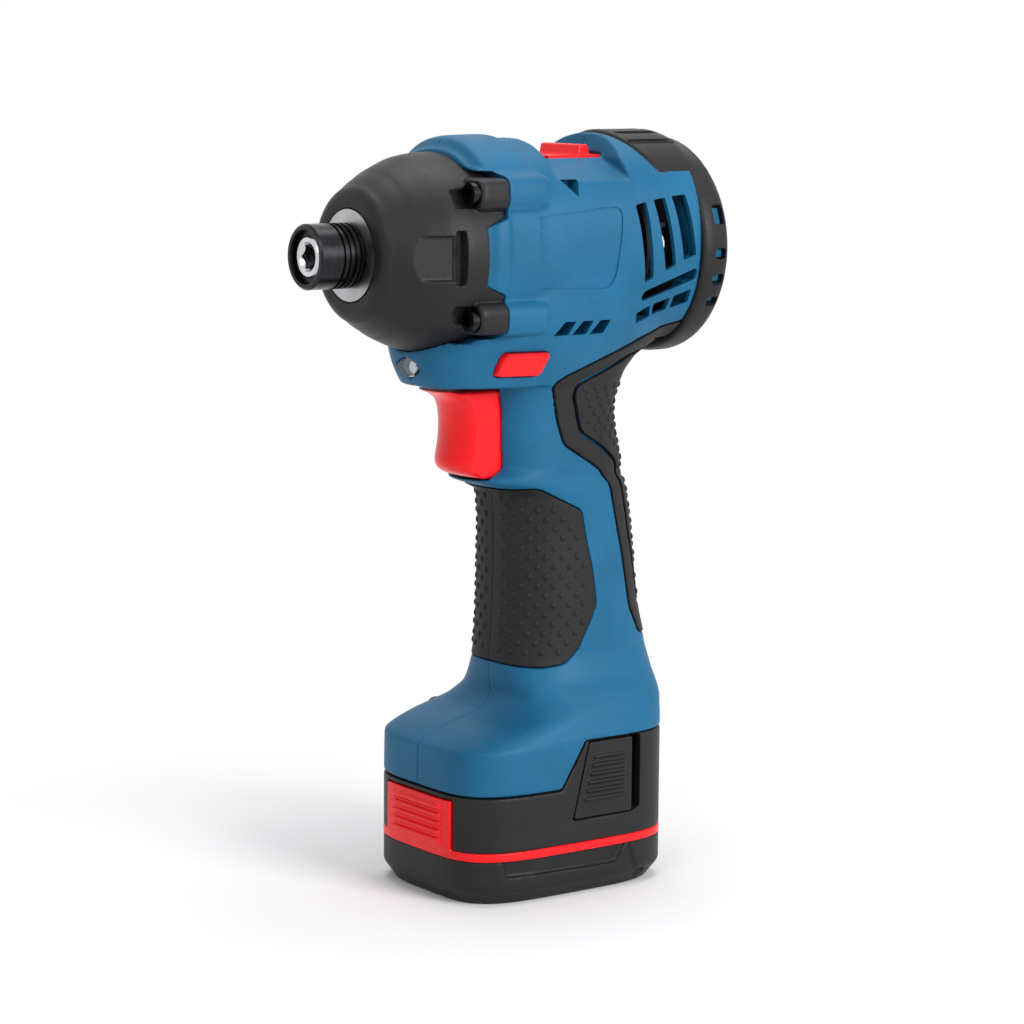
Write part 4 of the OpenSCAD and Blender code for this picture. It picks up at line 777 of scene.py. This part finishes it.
# %% The bare panel and the notch beside the deck
PANEL = [[-53.9, -9.0], [-82.6, -9.9], [-85.6, 12.8], [-54.3, 10.0]]
PANEL_DEPTH = 0.35
NOTCH = [[-66.9, 19.8], [-72.9, 19.8], [-71.4, 15.2]]


def side_of(x, z):
    """Half width of the body at a place: the wider of the barrel's ring and the neck's ring there."""
    rows = through(BARREL, 400)
    top, half = np.interp(-x, rows[:, 0], rows[:, 1]), np.interp(-x, rows[:, 0], rows[:, 2])
    middle, reach = (top + BARREL_LOW) / 2, (top - BARREL_LOW) / 2
    lying = half * np.clip(1 - np.abs((z - middle) / reach) ** BARREL_SQUARE, 0, 1) ** (1 / BARREL_SQUARE)
    neck = through(NECK, 400)
    front, rear, wide, square = (np.interp(-z, neck[:, 0], neck[:, k]) for k in (1, 2, 3, 4))
    share = np.abs((x - (front + rear) / 2) / ((front - rear) / 2))
    hanging = np.where(z < -6, wide * np.clip(1 - share ** square, 0, 1) ** (1 / square), 0)
    return np.maximum(lying, hanging)


def patch_cutter(name, corners, depth, square=9, rings=14, count=96):
    """A shallow pocket on the barrel's side: a squared disc mapped onto four corners, laid on the surface and
    sunk by a depth, with a second sheet outside to close it."""
    share = np.linspace(0.02, 1, rings)[:, None]
    u, v = ring(1.0, 1.0, square, count)
    u, v = share * u, share * v
    c = np.asarray(corners, float)[:, :, None, None]
    x, z = ((1 - u) * (1 - v) * c[0] + (1 + u) * (1 - v) * c[1] + (1 + u) * (1 + v) * c[2]
            + (1 - u) * (1 + v) * c[3]) / 4
    face = side_of(x, z)
    return skin(name, np.concatenate([grid(x, face - depth, z), grid(x, face + 4, z)[::-1]]))


carve(shell, patch_cutter("panel", PANEL, PANEL_DEPTH))
carve(shell, across("notch", NOTCH, 18.5, 50))
print("panel and notch cut", len(shell.data.polygons), "faces")

# %% Snap tabs for the cap, and the right half
CAP_SLOTS = [[18.6, 2.7], [-2.5, 1.45], [-16.4, 1.45], [-29.5, 1.45]]


def spoke(name, outline, degrees, r0, r1, side=1):
    """An outline in x and height, carried outwards along a radius that is turned by an angle from level."""
    lean = np.radians(degrees)
    reach = np.array([[r0], [r1]])
    x, high = outline.T
    y = reach * np.cos(lean) - high * np.sin(lean)
    return skin(name, grid(x, side * y, reach * np.sin(lean) + high * np.cos(lean)))


def rim_block(name, side, degrees, high, x0, x1, r0, r1):
    """A block across the cap's rim."""
    outline = eased([[x0, -high], [x1, -high], [x1, high], [x0, high]], 0.5)
    return spoke(name, outline, degrees, r0, r1, side)


for degrees, high in CAP_SLOTS:
    carve(shell, rim_block("tab", 1, degrees, high - 0.35, -118.8, -115.8, 24.4, 28.0), "UNION")
SCREWS = [[-73.0, -27.9, 18.0], [-76.0, -65.0, 13.4], [-85.1, -115.9, 15.8], [-104.6, -124.0, 13.5],
          [-59.6, -132.0, 22.0]]
shell_right = mirrored(shell, "shell_right")
for x, z, seat in SCREWS:
    recess = np.column_stack(ring(3.35, 3.35, 2, 40)) + [x, z]
    carve(shell_right, across("recess", recess, -60, -seat))
finish_piece(shell, "blue_shell_left", "body", ["housing_left"], "blue_plastic")
finish_piece(shell_right, "blue_shell_right", "body", ["housing_right"], "blue_plastic")
for name, grip in grips.items():
    left_half(grip)
    soften(grip, 0.36, 2, 0.6)
    other = mirrored(grip, name + "_right")
    finish_piece(grip, f"soft_{name}_left", "body", [f"{name}_grip_left"], "soft_grip")
    finish_piece(other, f"soft_{name}_right", "body", [f"{name}_grip_right"], "soft_grip")
bpy.data.objects.remove(form)

# %% [markdown]
# The grips carry rows of low studs. They are too small for the remesh, so they are domes of their own: the
# handle's outline is sampled finely, places are picked at even distances along it in staggered rows, and
# those that fall inside a grip's outline get a dome that stands along the surface's normal.

# %% Places for the studs


def within(points, outline, margin):
    """True for points inside a closed outline and farther than a margin from its edges."""
    a, b = outline[None], np.roll(outline, -1, axis=0)[None]
    p = points[:, None]
    straddles = (a[..., 1] > p[..., 1]) != (b[..., 1] > p[..., 1])
    run = b - a
    rise = np.where(run[..., 1] == 0, 1e-9, run[..., 1])
    cross_x = a[..., 0] + run[..., 0] * (p[..., 1] - a[..., 1]) / rise
    odd = np.sum(straddles & (p[..., 0] < cross_x), axis=1) % 2 == 1
    share = np.clip(np.sum((p - a) * run, axis=-1) / np.maximum(np.sum(run * run, axis=-1), 1e-9), 0, 1)
    gap = np.linalg.norm(p - a - share[..., None] * run, axis=-1).min(axis=1)
    return odd & (gap > margin)


def handle_places(heights, start, pitch, count, from_back):
    """Places and normals on the handle's left side: at each height the outline is measured from the middle
    line, and points are taken every pitch along it, with every second row moved by half a pitch."""
    rows = through(GRIP, 900)
    front, rear, wide, square = (np.interp(heights, rows[:, 0], rows[:, k])[:, None] for k in (1, 2, 3, 4))
    x, y = ring((front - rear) / 2, wide, square, 720)
    around = grid((front + rear) / 2 + x, y, -heights[:, None])[:, :361]
    if from_back:
        around = around[:, ::-1]
    run = np.gradient(around, axis=1)
    length = np.cumsum(np.linalg.norm(run, axis=-1), axis=1)
    wanted = start + pitch * (np.arange(count)[None] + 0.5 * (np.arange(len(heights))[:, None] % 2))
    pick = np.abs(length[:, None, :] - wanted[:, :, None]).argmin(axis=2)
    rise = np.gradient(around, axis=0)
    out = np.cross(run, rise)
    out /= np.linalg.norm(out, axis=-1, keepdims=True)
    out *= np.sign(np.sum(out * (around - around.mean(axis=1, keepdims=True)), axis=-1, keepdims=True))
    row = np.arange(len(heights))[:, None]
    fits = wanted < length[:, -1:]
    return around[row, pick][fits], out[row, pick][fits]


front_at, front_out = handle_places(np.arange(68.2, 113.0, 2.65), 4.0, 4.6, 9, False)
front_fits = within(front_at[:, [0, 2]], GRIP_LINES["front"], 2.3)
rear_at, rear_out = handle_places(np.arange(37.5, 100.0, 2.3), 2.6, 4.2, 9, True)
rear_fits = within(rear_at[:, [0, 2]], groove_line, 1.9)
stud_at = np.vstack([front_at[front_fits], rear_at[rear_fits]])
stud_out = np.vstack([front_out[front_fits], rear_out[rear_fits]])
print("studs on a side", len(stud_at))

# %% Studs on the grips


def studs(name, at, out, radius, height):
    """Low domes: at + radius sin t (cos a T + sin a B) + height cos t N, with T and B square to the
    normal N."""
    first = np.cross([0.0, 0.0, 1.0], out)
    first /= np.linalg.norm(first, axis=1, keepdims=True)
    second = np.cross(out, first)
    t = np.radians([18.0, 48.0, 78.0, 105.0])[None, :, None, None]
    a = np.linspace(0, 2 * np.pi, 10, endpoint=False)[None, None, :, None]
    flat = np.cos(a) * first[:, None, None] + np.sin(a) * second[:, None, None]
    points = at[:, None, None] + radius * np.sin(t) * flat + height * np.cos(t) * out[:, None, None]
    index = np.arange(points.size // 3).reshape(points.shape[:3])
    beside = np.roll(index, -1, axis=2)
    quads = np.stack([index[:, :-1], beside[:, :-1], beside[:, 1:], index[:, 1:]], axis=-1).reshape(-1, 4)
    ends = index[:, 0].tolist() + index[:, -1, ::-1].tolist()
    return meshed(name, points, quads.tolist() + ends)


both_at, both_out = np.vstack([stud_at, stud_at * [1, -1, 1]]), np.vstack([stud_out, stud_out * [1, -1, 1]])
stud_piece = studs("studs", both_at + 0.25 * both_out, both_out, 0.95, 0.5)
finish_piece(stud_piece, "soft_grip_studs", "body", [], "soft_grip")

# %% [markdown]
# ## Nose cover
# The dark cover is a turned dome with a lip at the front and a faint crease where its two curves meet. Four
# bosses carry the screws, a window in each side has a ramp and a slot behind it whose thin floor of dark
# plastic is painted shade in place of an open slot, and the rear edge steps back in ears over the bosses.
# The dome is one profile turned round the axis; the rest is cut from it.

# %% Dome, bosses, ears and windows
BOSS_Y, BOSS_Z = 23.4, 16.8
BOSS = [[14, 8.0], [27.4, 13.2], [26.9, 20.6], [14.0, 20.9]]
BOSS_STATIONS = [[-49, 1.0], [-40.0, 1.0], [-38.9, 0.97], [-38.2, 0.9]]
dome_line = np.column_stack([-dome_rows[:, 0], dome_rows[:, 1]])
inside = [[-48, 22.4], [-30.6, 22.4], [-28.0, 21.0], [-19.4, 12.55], [-13.8, 12.55]]
cover = turned("cover", np.vstack([dome_line, inside]), 160, closed=True)
for side, level in CORNERS:
    carve(cover, fairing("boss", BOSS_STATIONS, BOSS, side, level), "UNION")
BEHIND = -60
notch = [[EAR_FRONT, 7.8], [EAR_BACK, 10.4], [BEHIND, 10.4], [BEHIND, -10.4], [EAR_BACK, -10.4],
         [EAR_FRONT, -7.8]]
over_top = [[EAR_FRONT, 60], [EAR_FRONT, 23.4], [EAR_FRONT - 1.2, 22.1], [EAR_BACK + 1, 22.1],
            [EAR_BACK, 20.8], [BEHIND, 20.8], [BEHIND, 60]]
rear_trim = [[EAR_BACK, 40], [EAR_BACK, -40], [BEHIND, -40], [BEHIND, 40]]
for outline in (notch, over_top, np.array(over_top) * [1, -1], rear_trim):
    carve(cover, across("trim", eased(outline, 0.6)))
carve(cover, turned("case room", [[-60, 22.4], [-30.6, 22.4]]))
for side, level in CORNERS:
    carve(cover, rod("head room", -39.4, -35.4, 2.9, (side * BOSS_Y, level * BOSS_Z)))
    carve(cover, rod("scoop", -39.2, -32.6, 3.2, (side * 22.2, level * 15.9)))
RAMP = np.array([[-20.2, 21.2], [-31.6, 23.5], [-31.6, 50], [-20.2, 50]])
# The slot stops 0.2 mm short of the cover's inside, so its thin floor of dark plastic is painted shade where an
# open slot would show the case.
SLOT_OVER_SHADE_FLOOR = np.array([[-31.3, 22.6], [-34.1, 22.6], [-34.1, 50], [-31.3, 50]])
for (x, y), half in ((RAMP.T, 5.9), (SLOT_OVER_SHADE_FLOOR.T, 7.2)):
    for side in (1, -1):
        carve(cover, skin("window", grid(x, side * y, np.array([[-half], [half]]))))
soften(cover, 0.32, 1, 0.6)
finish_piece(cover, "dark_nose_cover", "body", ["nose_cover"], "dark_plastic")

# %% [markdown]
# ## Rear cap
# The cap closes the motor's end: a turned cup with a rounded rim, slots round the rim that let the air out
# and show the blue spigot, and a pad that reaches forward over the top with five long finger grooves.

# %% Cup, pad, grooves and slots
cup = [[CAP_FRONT, 26.1], [CAP_FRONT, 29.2], [-112.2, 29.9], [-114.0, 30.2], [-117.6, 30.2], [-119.4, 29.7],
       [-120.7, 28.5], [-121.4, 26.9], [REAR, 25.0], [REAR, 14.0], [-121.1, 13.4], [-121.1, 3.0],
       [-118.4, 3.0], [-118.4, 26.1]]
cap = turned("cap", cup, 160, closed=True)


def crowned_pad(name, front, rear, low, high, edge, spread, bow, count=64):
    """A pad over the barrel: at each angle a closed section whose top follows the radius
    edge + (high - edge) (1 - share^4) ramp(x), where ramp falls to nothing towards the rear, and whose front
    end is a quarter round."""
    share = np.linspace(-1, 1, count)[:, None]
    lean = np.radians(spread) * share
    along = np.linspace(0, 1, 60)[None, :] ** 1.5
    x = front - bow * share ** 2
    x = x + (rear - x) * along
    ramp = 0.5 - 0.5 * np.cos(np.pi * np.clip((x - rear) / 8.0, 0, 1))
    top = edge + (high - edge) * (1 - share ** 4) * ramp
    nose = np.sqrt(1 - (1 - np.clip(along / 0.06, 0, 1)) ** 2)
    top = low + (top - low) * (0.3 + 0.7 * nose)
    x, r = np.hstack([x, x[:, ::-1]]), np.hstack([top, low + 0 * top])
    return skin(name, grid(x, r * np.sin(lean), r * np.cos(lean)))


carve(cap, crowned_pad("pad", -94.9, -119.0, 28.9, 32.4, 30.15, 46, 6.0), "UNION")
PAD_GROOVE = [[-98.5, 1.15], [-112.6, 1.15], [-114.4, 0.0], [-112.6, -1.15], [-98.5, -1.15], [-96.9, 0.0]]
for i in range(-2, 3):
    carve(cap, spoke("groove", eased(PAD_GROOVE, 0.8), 90 - 12 * i, 31.0, 36))
for side in (1, -1):
    for degrees, high in CAP_SLOTS:
        carve(cap, rim_block("slot", side, degrees, high, -119.2, -115.4, 24.0, 36.0))
soften(cap, 0.4, 3, 0.6)
finish_piece(cap, "dark_rear_cap", "body", ["rear_cap"], "dark_plastic")

# %% [markdown]
# ## Red controls
# The trigger has a hollow front for the finger, rounded in plan. The reversing selector is a bar with a
# slanted cap at each side, and the speed selector a plate with a crosswise rib. All are smooth glossy red.

# %% Trigger
TRIGGER = np.array([[0, 0], [4.0, -1.6], [6.1, -3.2], [7.3, -5.9], [7.7, -9.1], [7.6, -13.0], [7.0, -16.4],
                    [6.2, -19.4], [6.3, -21.2], [7.7, -22.8], [10.5, -24.0], [13.6, -24.6], [24.7, -24.6],
                    [24.7, 0]])
STEM = (0, TRIGGER_TOP - 12.3)
face = eased(TRIGGER * [-1, 1] + [-38.5, TRIGGER_TOP], 1.2, 5)
middle = face.mean(axis=0)
half = np.array([0, 1.7, 3.4, 5, 6.5, 7.8, 8.6, 9.05, 9.2])
wide = np.concatenate([-half[:0:-1], half])[:, None]
narrow = 1 - 0.06 * np.clip((np.abs(wide) - 7.8) / 1.4, 0, 1) ** 2
fade = np.clip((face[:, 0] + 56) / 12, 0, 1)
round_front = (13.0 - np.sqrt(13.0 ** 2 - wide ** 2)) * fade
x = middle[0] + (face[:, 0] - middle[0]) * narrow - round_front
z = middle[1] + (face[:, 1] - middle[1]) * narrow
trigger = skin("trigger", grid(x, wide, z))
carve(trigger, rod("spring room", -57.0, -70, 5.6, STEM))
carve(trigger, rod("stem", -56, -74.2, 2.4, STEM, 40), "UNION")
soften(trigger, 0.3, 3, 0.5)
finish_piece(trigger, "red_trigger", "trigger", ["trigger"], "red_plastic")

# %% Reversing selector
bar = box("bar", SELECTOR_X - 8, SELECTOR_X + 3, -17.0, 17.0, SELECTOR_Z - 1.7, SELECTOR_Z + 1.7)
outline = eased(SELECTOR, 1.5)
face = side_of(SELECTOR_X + outline[:, 0], SELECTOR_Z + outline[:, 1])
reach = face + np.array([[-5.0], [1.1], [1.7], [1.95]])
swell = np.array([[1.0], [1.0], [0.965], [0.9]])
x, z = SELECTOR_X + outline[:, 0] * swell, SELECTOR_Z + outline[:, 1] * (2 * swell - 1)
for side in (-1, 1):
    carve(bar, skin("cap", grid(x, side * reach, z)), "UNION")
finish_piece(bar, "red_reversing_selector", "direction", ["direction_selector"], "red_plastic")

# %% Speed selector
SPEED_X = -81.9
plate = box("plate", SPEED_X - 9.1, SPEED_X + 9.1, -9.2, 9.2, 23.85, 25.8, 0.3)
rib_line = eased([[-5.2, 0], [-4.6, 3.0], [-1.6, 3.0], [-1.0, 0]], 0.7) + [SPEED_X, 25.6]
carve(plate, across("rib", rib_line, -8.9, 8.9), "UNION")
soften(plate, 0.25, 3, 0.5)
finish_piece(plate, "red_speed_selector", "speed", ["speed_selector"], "red_plastic")

# %% Lens in the chin
deep = np.array([[-35.0], [-33.4], [-32.8], [-32.55]])
swell = np.array([[1.0], [1.0], [0.93], [0.6]])
lens = skin("lens", grid(deep, swell * almond[:, 0], LENS_Z + swell * almond[:, 1]))
finish_piece(lens, "clear_lamp_lens", "body", ["lamp_lens"], "clear_lens")

# %% [markdown]
# ## Battery pack
# The pack is a stack of level outlines like the foot's: a chamfered tray, a red band with a ribbed panel in
# front, and a dark case whose top follows the slanted step of the foot and carries a tower inside it.

# %% Case
BAND_LOW, BAND_TOP = -164.7, -162.3
CASE_TOP, CHIN_TOP = -134.05, -147.05
case = stacked("case", [(BAND_TOP, 0), (CASE_TOP - 0.5, 0), (CASE_TOP - 0.12, -0.15), (CASE_TOP, -0.5)])
(step_top, _), (step_low, _) = STEP - [PACK_GAP, 0]
above = [[step_top, -120], [step_top, CASE_TOP + 0.01], [step_low, CHIN_TOP], [0, CHIN_TOP], [0, -120]]
carve(case, across("above", above))
carve(case, stacked("tower", [(BAND_TOP + 1, -2.15), (TOWER_TOP, -2.15)]), "UNION")
carve(case, stacked("rim room", [(TOWER_TOP, -2.2), (-120, -2.2)]))
LATCH = np.array([[-69.8, -155.5], [-75.0, -134.6], [-90.0, -134.6], [-90.0, -155.5]])
LATCH_ROOM = [[-69.4, -155.9], [-74.7, -134.2], [-93.2, -134.2], [-93.2, -155.0], [-90.4, -155.9]]


def one_side(name, outline, side, near, far=ASIDE):
    """A side outline carried outwards on one side of the tool."""
    return across(name, outline, *sorted((side * near, side * far)))


for side in (1, -1):
    carve(case, one_side("latch room", eased(LATCH_ROOM, 0.3), side, 22.0, 40))
carve(case, box("panel room", -50, 0, -15.6, 15.6, BAND_LOW, -148.2))
soften(case, 0.4, 3, 0.6)
finish_piece(case, "dark_pack_case", "battery", ["battery_case"], "dark_plastic")

# %% Red band and its ribbed panel
PANEL_TOP = -148.6
edges = [(BAND_LOW, -0.1), (BAND_LOW + 0.2, 0.08), (BAND_TOP - 0.2, 0.08), (BAND_TOP, -0.1)]
band_piece = stacked("band", edges)
front_block = stacked("front", [(BAND_TOP - 0.5, 0.5), (PANEL_TOP - 0.4, 0.5), (PANEL_TOP, 0.1)])
carve(front_block, box("keep", -50, 0, -15.2, 15.2, -170, -140), "INTERSECT")
carve(band_piece, front_block, "UNION")
RIB = [(0, 0.2), (0.3, 1.2), (0.6, 1.5), (1.1, 1.5), (1.4, 1.2), (1.7, 0.2)]
for i in range(5):
    z = BAND_TOP + 1.3 + 2.35 * i
    rib = stacked("rib", [(z + rise, grow) for rise, grow in RIB])
    carve(rib, box("keep", -50, 0, -11.6, 11.6, -170, -140), "INTERSECT")
    carve(band_piece, rib, "UNION")
carve(band_piece, stacked("inside", [(BAND_LOW - 2, -2.2), (PANEL_TOP + 2, -2.2)]))
soften(band_piece, 0.25, 1, 0.5)
finish_piece(band_piece, "red_pack_band", "battery", ["battery_band"], "red_plastic")

# %% Tray
BASE = -AXIS_H
edges = [(BASE, -3.6), (BASE + 0.4, -3.0), (BASE + 4.4, -0.35), (BASE + 5.4, 0.0), (BAND_LOW, 0.0)]
tray = stacked("tray", edges)
SIDE_PANELS = [(0.6, [[-46.8, -164.0], [-48.0, -174.4], [-92.6, -173.6], [-89.4, -164.0]]),
               (1.6, [[-47.6, -164.0], [-48.2, -169.4], [-85.2, -169.9], [-89.0, -164.0]])]
for depth, outline in SIDE_PANELS:
    sunk = across("sunk", eased(outline, 0.4))
    carve(sunk, stacked("keep", [(-190, -depth), (-150, -depth)]))
    carve(tray, sunk)
FOOT_NOTCH = [[-91.8, -180], [-92.6, -172.8], [-96.2, -173.4], [-97.4, -180]]
for side in (1, -1):
    carve(tray, one_side("foot notch", eased(FOOT_NOTCH, 0.5), side, 24.6))
soften(tray, 0.4, 2, 0.5)
finish_piece(tray, "dark_pack_tray", "battery", ["battery_tray"], "dark_plastic")

# %% Latches
LATCH_IN = 25.0
for side, name in ((1, "left"), (-1, "right")):
    pad = stacked("pad", [(-160, 0), (-130, 0)])
    carve(pad, one_side("keep", eased(LATCH, 0.6), side, LATCH_IN), "INTERSECT")
    for i in range(6):
        z = -151.0 + 2.35 * i
        rib = stacked("rib", [(z, -0.2), (z + 0.3, 0.75), (z + 1.0, 0.75), (z + 1.3, -0.2)])
        front = np.interp(z, LATCH[:2, 1], LATCH[:2, 0]) - 2.4
        ends = [[front, -170], [-87.6, -170], [-87.6, -120], [front, -120]]
        carve(rib, one_side("keep", ends, side, LATCH_IN), "INTERSECT")
        carve(pad, rib, "UNION")
    soften(pad, 0.26, 1, 0.5)
    finish_piece(pad, f"dark_latch_{name}", f"latch_{name[0]}", [f"latch_{name}"], "dark_plastic")

# %% [markdown]
# ## Floor, light and backdrop
# The photograph has a white studio ground with a soft contact shadow. The floor is a pale disc that fades to
# the plain white of the backdrop away from the object. The pack stands on it, so it rides on the pack and
# stays under it when the pack slides out. The world is white to the camera and to mirrors but lights the
# object at a plain level, and three soft lamps give the long highlights along the edges.

# %% Floor
FLOOR_R, FLOOR_COUNT = 4.0, 64
rim = FLOOR_R * np.column_stack([*ring(1, 1, 2, FLOOR_COUNT), np.zeros(FLOOR_COUNT)])
floor_mesh = bpy.data.meshes.new("floor")
floor_mesh.from_pydata(rim.tolist(), [], [list(range(FLOOR_COUNT))])
floor = placed("floor", floor_mesh)
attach(floor, "battery")


def maths(tree, operation, first, second):
    """One sum on two values."""
    return node(tree, "ShaderNodeMath", {0: first, 1: second}, operation=operation).outputs[0]


def seen_rays(tree):
    """1 for rays from the camera, mirrors and glass, and 0 for rays that carry light."""
    path = tree.nodes.new("ShaderNodeLightPath").outputs
    direct = maths(tree, "MAXIMUM", path["Is Camera Ray"], path["Is Glossy Ray"])
    return maths(tree, "MAXIMUM", direct, path["Is Transmission Ray"])


def surface(tree, end, share, first, second):
    """Mixes two shaders by a share and sends the result to the surface of the tree's end node."""
    mixed = node(tree, "ShaderNodeMixShader", {0: share, 1: first.outputs[0], 2: second.outputs[0]})
    feed(tree, tree.nodes[end], {"Surface": mixed.outputs[0]})


ground, tree, matte = new_material("pale_ground")
feed(tree, matte, {"Base Color": grey(0.93), "Roughness": 0.9, "Specular IOR Level": 0.0})
white = node(tree, "ShaderNodeEmission", {"Color": grey(1.0)})
away = node(tree, "ShaderNodeVectorMath", {0: object_place(tree)}, operation="LENGTH").outputs["Value"]
ends = {"Value": away, "From Min": 0.06, "From Max": 0.20}
fade_out = node(tree, "ShaderNodeMapRange", ends, interpolation_type="SMOOTHSTEP").outputs["Result"]
surface(tree, "Material Output", maths(tree, "MULTIPLY", fade_out, seen_rays(tree)), matte, white)
floor_mesh.materials.append(ground)
print("floor's radius", FLOOR_R, "m")

# %% World and lamps
world = bpy.data.worlds.new("studio")
bpy.context.scene.world = world
world.use_nodes = True
tree = world.node_tree
light = tree.nodes["Background"]
feed(tree, light, {"Color": (0.95, 0.97, 1.0, 1.0), "Strength": 0.38})
seen = node(tree, "ShaderNodeBackground", {"Color": grey(1.0), "Strength": 1.0})
surface(tree, "World Output", seen_rays(tree), light, seen)


def softbox(name, stand, aim, size, power):
    """A square soft lamp at a point, turned towards another."""
    data = bpy.data.lights.new(name, "AREA")
    data.size = size
    data.energy = power
    lamp = placed(name, data)
    lamp.location = stand
    lamp.rotation_euler = (Vector(aim) - Vector(stand)).to_track_quat("-Z", "Y").to_euler()


softbox("key", (0.75, 0.45, 0.75), (0, 0, 0.12), 0.5, 2.1)
softbox("side", (-0.2, 0.95, 0.5), (0, 0, 0.1), 0.45, 9.0)
softbox("top", (-0.1, -0.1, 0.95), (0, 0, 0.1), 0.6, 4.2)
bpy.context.scene.view_settings.view_transform = "Standard"
print("lamps", len(bpy.data.lights))
